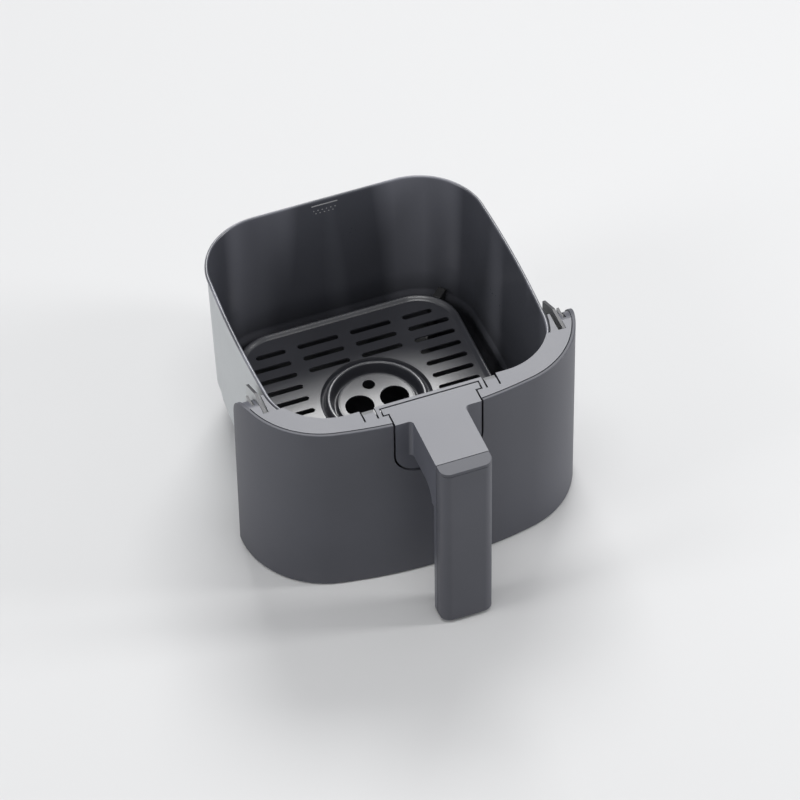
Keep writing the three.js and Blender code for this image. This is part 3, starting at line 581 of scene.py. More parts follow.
def pan_outline(inset):
    """Rounded square with bulging left and right sides, inside the rim's outer edge."""
    def side(hand):
        run = [hand * (part / 8 - 1) * (HALF_DEPTH - RIM_CORNER) for part in range(1, 16)]
        return [(hand * (HALF_WIDTH - inset + side_bulge(CENTRE_Y + y)), CENTRE_Y + y) for y in run]
    corners = rounded_rect(HALF_WIDTH - inset, HALF_DEPTH - inset, RIM_CORNER - inset, CENTRE_Y)
    half = len(corners) // 2
    return corners[:half] + side(-1) + corners[half:] + side(1)


def pan_ring(inset, height):
    return [(x, y, height) for x, y in pan_outline(inset)]


def floor_rings(skin, height):
    """Rings that close the floor towards its middle."""
    edge = wall_inset(0) + FLOOR_BEND
    return [pan_ring(edge + inset, height) for inset in (14.0, 10.0, 4.0)]


# %% Sweep the pan
def make_pan():
    roll = RIM_ROLL + SHEET
    outer = sheet_profile(0)
    inner = sheet_profile(SHEET)
    under = RIM_HEIGHT - ROLL_HEIGHT
    hem = [(0.9, under - 0.1), (0.25, under + 0.1), (0.0, under + 0.6)]
    rolled = arc(roll / 2, RIM_HEIGHT - roll / 2, roll / 2, 180, 0, 14)
    rim = hem + rolled + [(wall_inset(under) + SHEET, under + 0.3)]
    profile = outer + rim + inner[::-1]
    rings = floor_rings(0, 0) + [pan_ring(inset, height) for inset, height in profile]
    rings += floor_rings(SHEET, SHEET)[::-1]
    pan = loft("pan", rings)
    smooth(pan, 60)
    pan.data.materials.append(SILVER)
    pan.data.materials.append(COATING)
    for index, face in enumerate(pan.data.polygons):
        centre = face.center / MM
        inside = centre.z > SHEET / 2 and is_inside_sheet(centre)
        face.material_index = 1 if inside or centre.z > under - 0.2 else 0
    return pan


def is_inside_sheet(point):
    """True where a point of the pan's mesh lies on the inner face of the sheet."""
    x = abs(point.x) - side_bulge(point.y) - (HALF_WIDTH - RIM_CORNER)
    y = abs(point.y - CENTRE_Y) - (HALF_DEPTH - RIM_CORNER)
    reach = math.hypot(max(x, 0), max(y, 0)) if x > 0 and y > 0 else max(x, y)
    inset = RIM_CORNER - reach
    bend_centre = wall_inset(0) + FLOOR_BEND
    if point.z < FLOOR_BEND and inset < bend_centre:
        return math.hypot(bend_centre - inset, FLOOR_BEND - point.z) < FLOOR_BEND - SHEET / 2
    if inset >= bend_centre:
        return point.z > SHEET / 2
    return inset > wall_inset(point.z) + SHEET / 2


PAN = place(make_pan(), "pan_shell", "drawer", "coated_steel", ["pan"])

# %% [markdown]
# ## The fill mark
# High on the back wall a short line marks how full the pan may be, with two rows of dots under
# it. The print stands a few hundredths of a millimetre proud of the wall and follows it.

# %% Fill mark
MARK_DROP = 4.0
MARK_LENGTH = 19.0
MARK_WIDTH = 0.9


def wall_point(x, drop, proud):
    height = RIM_HEIGHT - drop
    back = CENTRE_Y + HALF_DEPTH - wall_inset(height) - SHEET
    return (x, back - proud, height)


def printed_patch(outline):
    face = [wall_point(x, drop, 0.05) for x, drop in outline]
    hidden = [wall_point(x, drop, -0.2) for x, drop in outline]
    return loft("print", [hidden, face])


def make_fill_mark():
    half = MARK_LENGTH / 2
    bar = printed_patch(rounded_rect(half, MARK_WIDTH / 2, MARK_WIDTH / 2 - 0.01, MARK_DROP, 6))
    dots = []
    for row, drop in enumerate((8.6, 11.2)):
        for column in range(6 - row):
            x = -half + 1.6 + column * 3.1 + row * 1.5
            dots.append(printed_patch([(x + dx, drop + dy) for dx, dy in arc(0, 0, 0.45, 0, 330, 11)]))
    return combine(bar, dots, "UNION")


place(make_fill_mark(), "fill_mark", "drawer", "bare_steel", [], PRINT)

# %% [markdown]
# ## The front panel
# The panel is one wall bent round the front of the pan: a very wide bow between two tight
# corners. Its section is swept along that plan curve, with a small flange turned in at the foot.
# The window for the handle's base and the rounded upper corners of the wings are then cut out.

# %% The front's plan curve
FASCIA_HALF = HALF_WIDTH + 18.8
FASCIA_REACH = 16.4
FASCIA_BOW = 340.0
FASCIA_CORNER = 61.4
FASCIA_WALL = 2.5
FASCIA_FOOT = 0.8
FASCIA_END = 54.5
WING_RADIUS = 22.0
WINDOW_GAP = 1.4

BOW_Y = from_rim(FASCIA_BOW - FASCIA_REACH)
CORNER_X = FASCIA_HALF - FASCIA_CORNER
CORNER_Y = BOW_Y - math.sqrt((FASCIA_BOW - FASCIA_CORNER) ** 2 - CORNER_X ** 2)
CORNER_TURN = math.degrees(math.asin(CORNER_X / (FASCIA_BOW - FASCIA_CORNER)))


def front_curve(inside):
    """Right to left round the front, a distance inside the panel's outer face."""
    radius = FASCIA_CORNER - inside
    end = math.degrees(math.asin((from_rim(FASCIA_END) - CORNER_Y) / radius))
    right = arc(CORNER_X, CORNER_Y, radius, end, CORNER_TURN - 90, 30)
    bow = arc(0, BOW_Y, FASCIA_BOW - inside, CORNER_TURN - 90, -CORNER_TURN - 90, 60)
    left = [(-x, y) for x, y in reversed(right)]
    return right + bow[1:-1] + left


# %% Panel section and sweep
EDGE = 0.7


def panel_section():
    """(inside, height) section: thin wall, rounded lip on top, flange at the foot."""
    wall, foot, flange = FASCIA_WALL, FASCIA_FOOT, FASCIA_WALL + 4.0
    section = arc(EDGE, TOP - EDGE, EDGE, 90, 180, 4)
    section += arc(EDGE, foot + EDGE, EDGE, 180, 270, 4)
    section += arc(flange - EDGE, foot + EDGE, EDGE, 270, 360, 3)
    section += arc(flange - EDGE, foot + 1.8 - EDGE, EDGE, 0, 90, 3)
    section += arc(wall + 1.0, foot + 2.8, 1.0, 270, 180, 3)
    section += arc(wall - EDGE, TOP - EDGE, EDGE, 0, 90, 4)
    return section


def shield_outline(margin, high):
    """U-shaped outline of the handle's base, seen from the front."""
    half, foot, radius = NECK_HALF + margin, TOP - SHIELD_DROP - margin, SHIELD_CORNER + margin
    outline = [(-half, high)]
    outline += arc(-half + radius, foot + radius, radius, 180, 270, 12)
    outline += arc(half - radius, foot + radius, radius, 270, 360, 12)
    return outline + [(half, high)]


def wing_corner():
    back, radius = from_rim(FASCIA_END), WING_RADIUS
    outline = arc(back - radius, TOP - radius, radius, 0, 90, 24)
    outline += [(back - radius, TOP + 2), (back + 2, TOP + 2), (back + 2, TOP - radius)]
    return prism(outline, -ACROSS, ACROSS, "x")


def make_fascia():
    section = panel_section()
    columns = []
    for inside, height in section:
        columns.append([(x, y, height) for x, y in front_curve(inside)])
    rings = [[columns[index][step] for index in range(len(section))] for step in range(len(columns[0]))]
    fascia = loft("fascia", rings)
    window = prism(shield_outline(WINDOW_GAP, TOP + 5), from_rim(-25), from_rim(-5), "y")
    combine(fascia, [window, wing_corner()])
    return soften(fascia, 0.3, 2, 50)


place(make_fascia(), "front_panel", "drawer", "slate_plastic", ["fascia"], SLATE)

# %% [markdown]
# ## The trim
# A flat rim closes the gap between panel and pan. It is cut out for the T-shaped head of the
# handle, has two notches for the spring clips that hold it on the pan's rim, and steps back to
# clear the rim at both sides, where a low shelf and a notch for the guide's fin follow. It is a
# plain sheet cut by simple solids.

# %% Trim
TRIM_SHEET = 1.9
TRIM_LAP = 5.4
TRIM_STEP = 26.6
TAIL_START = 34.0
TAIL_END = 46.0
TAIL_DROP = 0.8
SHELF_END = 45.0
SHELF_GAP = 2.2
GUIDE_GAP = 4.6
GUIDE_SHEET = 2.0
FIN_GAP = 9.4
FIN_SHEET = 1.6
FIN_START, FIN_END = 37.0, 80.0
SHELF_DROP = 2.4
SHELF_SHEET = 1.6
HANDLE_GAP = 1.1
CLIP_X = 42.8
CLIP_HALF = 4.3


def trim_opening():
    """Room for the pan's rim in front, and for the side guides as well further back."""
    over_rim = rounded_rect(HALF_WIDTH - 1.2, HALF_DEPTH - TRIM_LAP, RIM_CORNER - TRIM_LAP, CENTRE_Y)
    half = HALF_WIDTH + GUIDE_GAP + GUIDE_SHEET + FIT
    beside = block(-half, half, from_rim(TRIM_STEP), 400, CUT_LOW, CUT_HIGH)
    return combine(prism(over_rim, CUT_LOW, CUT_HIGH), [beside], "UNION")


def trim_profile():
    """Side view: flat, then a lowered tail that bends down with the panel's wings."""
    centre_y, centre_z = from_rim(FASCIA_END) - WING_RADIUS, TOP - WING_RADIUS
    upper, lower = WING_RADIUS - TAIL_DROP, WING_RADIUS - TRIM_SHEET

    def angle_at(radius, distance):
        return math.degrees(math.acos((from_rim(distance) - centre_y) / radius))

    profile = [(from_rim(-80), TOP - TRIM_SHEET)]
    profile += arc(centre_y, centre_z, lower, 90, angle_at(lower, TAIL_END), 10)
    profile += arc(centre_y, centre_z, upper, angle_at(upper, TAIL_END), angle_at(upper, TAIL_START), 10)
    return profile + [(from_rim(TAIL_START), TOP), (from_rim(-80), TOP)]


def handle_slot():
    gap = HANDLE_GAP
    head_half, neck_half = HEAD_HALF + gap, NECK_HALF + gap
    front, back = from_rim(HEAD_FRONT - gap), from_rim(HEAD_BACK + gap)
    head = block(-head_half, head_half, front, back, CUT_LOW, CUT_HIGH)
    neck = block(-neck_half, neck_half, from_rim(-40), from_rim(HEAD_FRONT + 0.1), CUT_LOW, CUT_HIGH)
    return combine(head, [neck], "UNION")


def clip_notch(side):
    centre = side * CLIP_X
    half = CLIP_HALF + FIT
    back = from_rim(9)
    cuts = []
    for edge in (centre - half, centre + half):
        cuts.append(block(edge - 0.6, edge + 0.6, from_rim(-5), back, CUT_LOW, CUT_HIGH))
    behind_rim = from_rim(RIM_ROLL + 0.2)
    cuts.append(block(centre - half, centre + half, behind_rim, back, CUT_LOW, CUT_HIGH))
    return cuts


def beside_rim(side, near, far):
    """Left and right end of a span measured outwards from the rim's side."""
    return sorted((side * (HALF_WIDTH + near), side * (HALF_WIDTH + far)))


def trim_shelf(side):
    """Low shelf beside the rim, hung from the trim's inner step."""
    low = TOP - TRIM_SHEET - SHELF_DROP
    span = beside_rim(side, -12, GUIDE_GAP - SHELF_GAP)
    front = from_rim(TRIM_STEP - 2)
    shelf = block(*span, front, from_rim(SHELF_END), low, low + SHELF_SHEET)
    riser = block(*span, front, from_rim(TRIM_STEP + 0.2), low + 0.01, TOP - TRIM_SHEET + 0.5)
    combine(shelf, [riser], "UNION")
    return combine(shelf, [prism(pan_outline(-0.8), CUT_LOW, CUT_HIGH)])


def fin_notch(side):
    span = beside_rim(side, FIN_GAP - FIT, FIN_GAP + FIN_SHEET + FIT)
    return block(*span, from_rim(FIN_START), from_rim(FIN_END), CUT_LOW, CUT_HIGH)


def make_trim():
    trim = prism(trim_profile(), -ACROSS, ACROSS, "x")
    combine(trim, [prism(front_curve(FASCIA_WALL + FIT), CUT_LOW, CUT_HIGH)], "INTERSECT")
    combine(trim, [trim_opening(), handle_slot()])
    combine(trim, [*clip_notch(-1), *clip_notch(1), fin_notch(-1), fin_notch(1)])
    combine(trim, [trim_shelf(-1), trim_shelf(1)], "UNION")
    return soften(trim, 0.28, 2, 40)


place(make_trim(), "trim_ring", "drawer", "slate_plastic_light", ["top_trim"], SLATE_TRIM)

# %% [markdown]
# ## The handle
# Head, neck, U-shaped base, arm and the back of the grip are one moulding. Each part is a plain
# solid with its own arcs: the arm flares where it leaves the base, and its underside turns into
# the grip on a wide bend. They are joined, and every remaining edge is rounded.

# %% Handle moulding
SHIELD_FACE = -FASCIA_REACH + (NECK_HALF + HANDLE_GAP) ** 2 / (2 * FASCIA_BOW)
ARM_HALF = 18.4
ARM_DEPTH = 32.0
ARM_BEND = 12.0
GRIP_SEAM = -58.0
GRIP_BACK = -49.5
GRIP_FRONT = -69.0
GRIP_FOOT = 2.6


def grip_plan(half, front, back, front_radius, back_radius):
    def corner(x, y, radius, start):
        return arc(x, y, radius, start, start + 90, 10) if radius else [(x, y)]
    front_y, back_y = from_rim(front) + front_radius, from_rim(back) - back_radius
    outline = corner(half - back_radius, back_y, back_radius, 0)
    outline += corner(-half + back_radius, back_y, back_radius, 90)
    outline += corner(-half + front_radius, front_y, front_radius, 180)
    outline += corner(half - front_radius, front_y, front_radius, 270)
    return outline


def make_arm():
    root, under, seam = from_rim(SHIELD_FACE + 1), TOP - ARM_DEPTH, from_rim(GRIP_SEAM + FIT)
    side = [(root, TOP), (seam, TOP), (seam, under - ARM_BEND), (from_rim(GRIP_BACK), under - ARM_BEND)]
    side += arc(from_rim(GRIP_BACK) + ARM_BEND, under - ARM_BEND, ARM_BEND, 180, 90, 16)[1:]
    side += [(root, under)]
    face, flare = from_rim(SHIELD_FACE), 3.0
    plan = [(ARM_HALF + flare, face + 1)] + arc(ARM_HALF + flare, face - flare, flare, 90, 180, 8)
    plan += [(ARM_HALF, seam), (-ARM_HALF, seam)]
    plan += arc(-ARM_HALF - flare, face - flare, flare, 0, 90, 8) + [(-ARM_HALF - flare, face + 1)]
    return combine(prism(side, -60, 60, "x"), [prism(plan, 0, TOP + 1)], "INTERSECT")


def make_handle():
    plate_low = RIM_HEIGHT + FIT
    shield = prism(shield_outline(0, TOP), from_rim(SHIELD_FACE), from_rim(SHIELD_FACE + 3), "y")
    neck = block(-NECK_HALF, NECK_HALF, from_rim(SHIELD_FACE), from_rim(HEAD_FRONT + 0.5), plate_low, TOP)
    head = block(-HEAD_HALF, HEAD_HALF, from_rim(HEAD_FRONT), from_rim(HEAD_BACK), plate_low, TOP)
    back = prism(grip_plan(ARM_HALF, GRIP_SEAM + FIT, GRIP_BACK, 0, 4.5), GRIP_FOOT, TOP)
    handle = combine(shield, [neck, head, make_arm(), back], "UNION")
    holes = [screw_hole(height) for height in GRIP_SCREWS]
    combine(handle, holes)
    return soften(handle, 0.55, 3, 40)


GRIP_MIDDLE = (TOP + GRIP_FOOT) / 2
GRIP_SCREWS = [GRIP_MIDDLE - 38, GRIP_MIDDLE + 22]


def screw_hole(height):
    circle = [(x, z + height) for x, z in arc(0, 0, 3.9, 0, 345, 23)]
    return prism(circle, from_rim(GRIP_BACK) - 1.4, from_rim(GRIP_BACK) + 2, "y")


place(make_handle(), "handle_moulding", "drawer", "slate_plastic", ["handle_body"], SLATE_TRIM)

# %% Grip cover and cap
CAP = 2.4


def make_cover():
    plan = grip_plan(ARM_HALF, GRIP_FRONT, GRIP_SEAM, 7, 0)
    return soften(prism(plan, GRIP_FOOT, TOP - CAP - 0.25), 0.4, 3, 40)


def make_cap():
    plan = grip_plan(ARM_HALF, GRIP_FRONT, GRIP_SEAM, 7, 0)
    return soften(prism(plan, TOP - CAP, TOP), 0.35, 3, 40)


place(make_cover(), "grip_front", "drawer", "slate_plastic", ["grip_cover"], SLATE)
place(make_cap(), "grip_top", "drawer", "slate_plastic_light", ["grip_cap"], SLATE)

# %% [markdown]
# ## The crisper plate's sheet
# The slots follow a rule: four columns and twelve rows on one pitch, the middle two columns
# leave room for the ring, and the slots nearest the rounded corners are shorter. Geometry Nodes
# draws the sheet's outline, the ring's hole and all the slots as curves, fills them in one go and
# gives the sheet its thickness. The rule's numbers are the tree's inputs.

# %% Plate sizes
PLATE_GAP = 19.0
PLATE_HALF_X = HALF_WIDTH - PLATE_GAP
PLATE_HALF_Y = HALF_DEPTH - PLATE_GAP
PLATE_Y = CENTRE_Y + 1.5
PLATE_LEVEL = 43.0
PLATE_CORNER = 31.0
PLATE_RIM = 5.0
SHEET_INSET = 3.4
DISC_RADIUS = 25.9
DISC_DROP = 2.6
FINGER_HOLE_X, FINGER_HOLE_RADIUS = 12.7, 10.0
SMALL_HOLE_Y, SMALL_HOLE_RADIUS = 16.8, 4.35
RING_RADIUS = 39.0
SLOT_SPACE = 8.8
SLOT_LENGTH = (2 * (PLATE_HALF_X - PLATE_RIM - 2.8) - 3 * SLOT_SPACE) / 4
SLOT_PITCH = 11.87
SHEET_INPUTS = {
    "Half Width": PLATE_HALF_X - SHEET_INSET,
    "Half Depth": PLATE_HALF_Y - SHEET_INSET,
    "Corner": PLATE_CORNER - SHEET_INSET,
    "Ring Radius": RING_RADIUS,
    "Slot Length": SLOT_LENGTH,
    "Slot Width": 4.2,
    "Column Pitch": SLOT_LENGTH + SLOT_SPACE,
    "Row Pitch": SLOT_PITCH,
    "Short By": 8.2,
    "Sheet": SHEET,
}


# %% Plate tree
def sheet_tree():
    group = bpy.data.node_groups.new("punched_sheet", "GeometryNodeTree")
    group.interface.new_socket("Geometry", in_out="INPUT", socket_type="NodeSocketGeometry")
    for name in SHEET_INPUTS:
        group.interface.new_socket(name, in_out="INPUT", socket_type="NodeSocketFloat")
    group.interface.new_socket("Geometry", in_out="OUTPUT", socket_type="NodeSocketGeometry")
    tree = Tree(group)
    start = group.nodes.new("NodeGroupInput")
    size = {name: Wire(tree, start.outputs[name]) for name in SHEET_INPUTS}

    def rounded(width, height, radius, count):
        quad = tree.add("GeometryNodeCurvePrimitiveQuadrilateral", {}, {0: width, 1: height})
        fillet = {"Curve": quad, "Radius": radius, "Count": count}
        return tree.add("GeometryNodeFilletCurve", {"mode": "POLY"}, fillet)

    outline = rounded(2 * size["Half Width"], 2 * size["Half Depth"], size["Corner"], 24)
    ring = tree.add("GeometryNodeCurvePrimitiveCircle", {"mode": "RADIUS"},
                    {"Resolution": 96, "Radius": size["Ring Radius"]})
    end = size["Slot Width"] * 0.499
    whole = rounded(size["Slot Length"], size["Slot Width"], end, 8)
    short = rounded(size["Slot Length"] - size["Short By"], size["Slot Width"], end, 8)

    grid = tree.add("GeometryNodeMeshGrid", {}, {
        "Size X": 3 * size["Column Pitch"], "Size Y": 11 * size["Row Pitch"],
        "Vertices X": 4, "Vertices Y": 12})
    position = tree.add("GeometryNodeInputPosition")
    x, y = tree.part(position, "X"), tree.part(position, "Y")
    far_x, far_y = x.math("ABSOLUTE", x, 0.0), y.math("ABSOLUTE", y, 0.0)
    inner_column = far_x.math("LESS_THAN", far_x, size["Column Pitch"])
    beside_ring = far_y.math("LESS_THAN", far_y, size["Ring Radius"] + size["Slot Width"] * 0.5)
    points = tree.add("GeometryNodeDeleteGeometry", {"domain": "POINT"},
                      {"Geometry": grid, "Selection": inner_column * beside_ring})
    last_row = far_y.math("GREATER_THAN", far_y, 5 * size["Row Pitch"])
    at_corner = last_row * (1 - inner_column)
    shift = x.math("SIGN", x, 0.0) * size["Short By"] * -0.5
    offset = tree.add("ShaderNodeCombineXYZ", {}, {"X": shift})
    moved = tree.add("GeometryNodeSetPosition", {}, {
        "Geometry": tree.add("GeometryNodeMeshToPoints", {}, {"Mesh": points}),
        "Selection": at_corner, "Offset": offset})
    slots = []
    for shape, chosen in ((whole, 1 - at_corner), (short, at_corner)):
        slots.append(tree.add("GeometryNodeInstanceOnPoints", {}, {
            "Points": moved, "Instance": shape, "Selection": chosen}))
    curves = tree.add("GeometryNodeJoinGeometry", {}, {"Geometry": [outline, ring, *slots]})
    real = tree.add("GeometryNodeRealizeInstances", {}, {"Geometry": curves})
    filled = tree.add("GeometryNodeFillCurve", {"mode": "NGONS"}, {"Curve": real})
    down = tree.add("ShaderNodeCombineXYZ", {}, {"Z": size["Sheet"] * -1})
    solid = tree.add("GeometryNodeExtrudeMesh", {}, {
        "Mesh": filled, "Offset": down, "Offset Scale": 1.0, "Individual": False})
    top = tree.add("GeometryNodeFlipFaces", {}, {"Mesh": filled})
    both = tree.add("GeometryNodeJoinGeometry", {}, {"Geometry": [solid, top]})
    closed = tree.add("GeometryNodeMergeByDistance", {}, {"Geometry": both, "Distance": 1e-6})
    final = tree.add("GeometryNodeRealizeInstances", {}, {"Geometry": closed})
    coated = tree.add("GeometryNodeSetMaterial", {}, {"Geometry": final, "Material": PLATE_COATING})
    finish_node = group.nodes.new("NodeGroupOutput")
    group.links.new(coated.socket, finish_node.inputs[0])
    return group


def grown(piece, group, values):
    """Runs a Geometry Nodes tree on an object and keeps the result as a plain mesh."""
    modifier = piece.modifiers.new("rule", "NODES")
    modifier.node_group = group
    for item in group.interface.items_tree:
        if item.in_out == "INPUT" and item.name in values:
            modifier[item.identifier] = values[item.name]
    settle(piece)
    return piece


# %% Plate sheet
def make_sheet():
    sheet = new_object("sheet", bpy.data.meshes.new("sheet"))
    lengths = {name: value * MM for name, value in SHEET_INPUTS.items()}
    grown(sheet, sheet_tree(), lengths)
    for vertex in sheet.data.vertices:
        vertex.co += Vector((0, PLATE_Y, PLATE_LEVEL)) * MM
    print("punched sheet:", len(sheet.data.polygons), "faces")
    soften(sheet, 0.35, 3, 40)
    for face in sheet.data.polygons:
        # Upright faces, the slots' cut edges, take the near-black painted shade.
        face.material_index = 1 if abs(face.normal.z) < 0.3 else 0
    return sheet


# %% [markdown]
# ## The plate's rim, ring and disc
# Round the sheet the metal rises on a short slope and turns down into a skirt. In the middle it
# dips into a groove, rises to a ridge, dips again and ends in a flat disc with two finger holes
# and two small ones. Both are sections carried round: one round the rounded square, the other
# round a circle.

# %% Plate rim
def plate_ring(inset, height):
    outline = rounded_rect(PLATE_HALF_X - inset, PLATE_HALF_Y - inset, PLATE_CORNER - inset, PLATE_Y)
    return [(x, y, PLATE_LEVEL + height) for x, y in outline]


def make_plate_rim():
    rise, skirt = 2.0, -5.0
    upper = [(PLATE_RIM + 0.2, -0.12), (PLATE_RIM - 0.4, 0.05), (PLATE_RIM - 1.0, 0.3), (3.2, 0.95)]
    upper += [(2.4, 1.55), (1.8, 1.85), (1.2, rise), (0.7, rise - 0.1), (0.3, rise - 0.4)]
    upper += [(0.06, rise - 0.85), (0, rise - 1.4)]
    lower = [(0, skirt + 0.3), (0.15, skirt), (SHEET - 0.3, skirt), (SHEET, skirt + 0.3)]
    inner = [(SHEET, rise - 2.6), (SHEET + 0.6, rise - 1.6), (3.0, -0.4), (PLATE_RIM + 0.2, -SHEET)]
    rings = [plate_ring(inset, height) for inset, height in upper + lower + inner]
    return smooth(loft("plate_rim", rings, around=True), 60)


def ring_profile():
    upper = [(25.6, -2.6), (26.5, -2.6), (27.0, -2.75), (27.4, -3.3), (27.9, -4.6), (28.3, -5.6)]
    upper += [(28.7, -6.0), (29.3, -6.0), (29.8, -5.5), (30.4, -3.8), (31.0, -1.2), (31.5, 0.8)]
    upper += [(31.9, 1.6), (32.5, 1.95), (33.4, 2.0), (34.2, 1.9), (34.8, 1.4), (35.3, 0.2)]
    upper += [(35.9, -1.9), (36.4, -2.8), (37.0, -3.0), (37.6, -2.8), (38.1, -2.0), (38.6, -0.9)]
    upper += [(39.0, -0.45), (39.5, -0.35)]
    lower = [(radius, height - SHEET) for radius, height in reversed(upper)]
    return [(radius, PLATE_LEVEL + height) for radius, height in upper + lower]


def make_disc():
    level = PLATE_LEVEL - DISC_DROP
    disc = prism(arc(0, PLATE_Y, DISC_RADIUS, 0, 356.25, 95), level - SHEET, level)
    holes = []
    for side in (-1, 1):
        finger = arc(side * FINGER_HOLE_X, PLATE_Y, FINGER_HOLE_RADIUS, 0, 352.5, 47)
        small = arc(0, PLATE_Y + side * SMALL_HOLE_Y, SMALL_HOLE_RADIUS, 0, 348.75, 31)
        holes += [prism(outline, level - 5, level + 5) for outline in (finger, small)]
    return soften(combine(disc, holes), 0.35, 3, 40)


# %% Join the plate
def join(name, pieces):
    work = bmesh.new()
    for piece in pieces:
        work.from_mesh(piece.data)
    mesh = bpy.data.meshes.new(name)
    work.to_mesh(mesh)
    work.free()
    for piece in pieces:
        bpy.data.objects.remove(piece)
    return new_object(name, mesh)


plate_parts = [make_sheet(), make_plate_rim(), smooth(lathe("ring", ring_profile(), 0, PLATE_Y), 60)]
plate = smooth(join("plate", plate_parts + [make_disc()]), 35)
place(plate, "punched_plate", "crisper", "coated_steel", ["crisper_plate"], PLATE_COATING,
      CUT_EDGE_SHADE)

# %% [markdown]
# ## Legs and bumpers
# Four silicone legs carry the plate, and four bumpers keep it off the walls. They are soft parts
# with rounded ends, so each leg is turned from a short profile, and each bumper is a block on the
# diagonal of its corner with generous bevels.

# %% Legs and bumpers
BUMPER_WIDTH = 6.0


def make_leg(low, high, x, y):
    radius = 4.0
    profile = [(0.01, low), (radius - 1.2, low), (radius - 0.4, low + 0.3), (radius, low + 1.1)]
    profile += [(radius - 0.7, low + 9), (radius - 0.7, high - 5), (radius, high - 4), (radius, high)]
    profile += [(0.01, high)]
    return smooth(lathe("leg", profile, x, y, 32), 50)


def make_bumper(low, high, side_x, side_y):
    """Block along the corner's diagonal, cut away under its outer end."""
    middle = (low + high) / 2
    half = (high.x - low.x) / math.sqrt(2) - BUMPER_WIDTH / 2
    outline = [(-half, low.z), (half - 4, low.z), (half, high.z - 3.5)]
    outline += [(half, high.z - 2), (half - 2, high.z), (-half, high.z)]
    along = Vector((side_x, side_y, 0)) / math.sqrt(2)
    across = Vector((-side_y, side_x, 0)) / math.sqrt(2)
    rings = []
    for edge in (-BUMPER_WIDTH / 2, BUMPER_WIDTH / 2):
        foot = Vector((middle.x, middle.y, 0)) + across * edge
        rings.append([foot + along * reach + Vector((0, 0, height)) for reach, height in outline])
    return soften(loft("bumper", rings), 0.8, 4, 30)


for side_y, depth in ((-1, "front"), (1, "rear")):
    for side_x, hand in ((-1, "left"), (1, "right")):
        corner = f"{depth}_{hand}"
        low, high = (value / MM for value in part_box(f"leg_{corner}"))
        middle = (low + high) / 2
        leg = make_leg(low.z, high.z, middle.x, middle.y)
        place(leg, f"silicone_leg_{corner}", "crisper", "silicone", [f"leg_{corner}"], SILICONE)
        low, high = (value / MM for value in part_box(f"bumper_{corner}"))
        bumper = make_bumper(low, high, side_x, side_y)
        place(bumper, f"silicone_bumper_{corner}", "crisper", "silicone", [f"bumper_{corner}"], SILICONE)

# %% [markdown]
# ## Carried-over metal and guides
# Bracket, heat shield, strap, clips, guides and screws keep their CAD shapes. They only need
# their finishes, so the material goes straight onto the CAD objects. The guides are dark, with
# pale outer faces that the recipe picks by their place and direction.

# %% Finishes for CAD nodes
def guide_recipe(tree, place):
    """Black plastic; the upright faces turned away from the pan are coloured pale."""
    across = tree.part(place, "X")
    beyond = (HALF_WIDTH + GUIDE_GAP + 0.1) * MM
    outward = across.math("GREATER_THAN", across.math("ABSOLUTE", across, 0.0), beyond)
    facing = tree.part(tree.add("ShaderNodeNewGeometry", out=1), "Z")
    upright = facing.math("LESS_THAN", facing, 0.3)
    fine = tree.noise(place, 1800, 3)
    pale = tree.mix_colour(fine, rgb(0.4, 0.415, 0.42), rgb(0.46, 0.475, 0.48))
    dark = tree.mix_colour(fine, rgb(0.03, 0.03, 0.033), rgb(0.045, 0.045, 0.05))
    return {
        "colour": tree.mix_colour(outward * upright, dark, pale),
        "roughness": fine * 0.1 + 0.36,
        "height": fine,
        "strength": 0.2,
        "depth": 0.00004,
    }


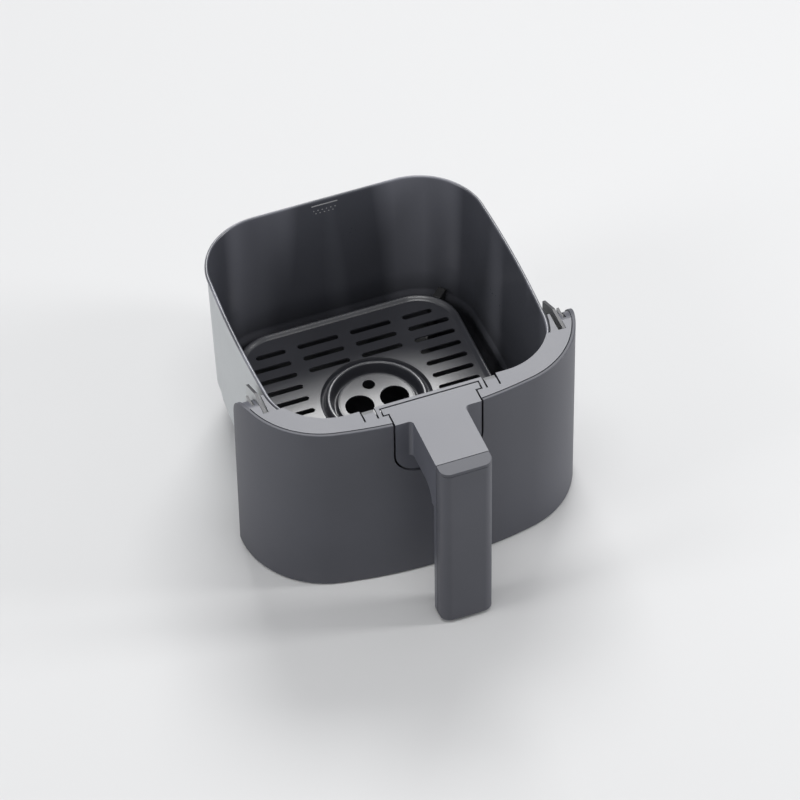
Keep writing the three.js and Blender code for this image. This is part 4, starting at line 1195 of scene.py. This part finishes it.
GUIDE = finish("guide_plastic", guide_recipe)
CAD_FINISHES = {
    "pan_bracket": ZINC,
    "heat_shield": ZINC,
    "handle_core": ZINC,
    "rim_clip_left": PHOSPHATE,
    "rim_clip_right": PHOSPHATE,
    "side_guide_left": GUIDE,
    "side_guide_right": GUIDE,
    "grip_screw_lower": ZINC,
    "grip_screw_upper": ZINC,
    "base_screw_left": ZINC,
    "base_screw_right": ZINC,
}
for node, material in CAD_FINISHES.items():
    mesh = bpy.data.objects[node].data
    mesh.materials.clear()
    mesh.materials.append(material)
print("finishes on", len(CAD_FINISHES), "CAD nodes")

# %% [markdown]
# ## Floor and light
# A pale floor, one broad light above and behind the pan, and weaker ones overhead and at the
# sides. The broad light brightens the trim and the floor and leaves the front panel in soft shade.

# %% Floor
def floor_recipe(tree, place):
    cloud = tree.noise(place, 3, 2)
    return {
        "colour": tree.mix_colour(cloud, rgb(0.615, 0.615, 0.617), rgb(0.635, 0.635, 0.637)),
        "roughness": cloud * 0.1 + 0.6,
        "height": cloud,
        "strength": 0.02,
        "depth": 0.0001,
    }


FLOOR_HALF = 4000.0
floor = prism(rectangle(-FLOOR_HALF, FLOOR_HALF, -FLOOR_HALF, FLOOR_HALF), -20, -0.1)
floor.name = "floor"
floor.data.materials.append(finish("pale_floor", floor_recipe))


# %% Lights
def area_light(name, place_at, look_at, size, watts):
    data = bpy.data.lights.new(name, "AREA")
    data.shape = "RECTANGLE"
    data.size, data.size_y = size
    data.energy = watts
    lamp = bpy.data.objects.new(name, data)
    lamp.location = place_at
    direction = Vector(look_at) - Vector(place_at)
    lamp.rotation_euler = direction.to_track_quat("-Z", "Y").to_euler()
    scene.collection.objects.link(lamp)


# Name, place, aim and size in metres, then watts.
area_light("back_softbox", (0.8, 2.05, 2.4), (0, 0.03, 0.08), (1.65, 1.1), 62)
area_light("top_softbox", (-0.15, -0.35, 2.0), (0, 0.03, 0.08), (0.9, 0.5), 9)
area_light("left_panel", (-1.5, -0.1, 0.8), (0, 0, 0.08), (0.4, 1.2), 8)
area_light("right_edge", (1.3, -0.5, 0.6), (0, -0.1, 0.08), (0.2, 1.2), 11)

world = bpy.data.worlds.new("studio")
world.use_nodes = True
background = world.node_tree.nodes["Background"]
background.inputs["Color"].default_value = rgb(0.96, 0.975, 1.0)
background.inputs["Strength"].default_value = 0.43
scene.world = world
scene.view_settings.view_transform = "Standard"
scene.view_settings.look = "None"
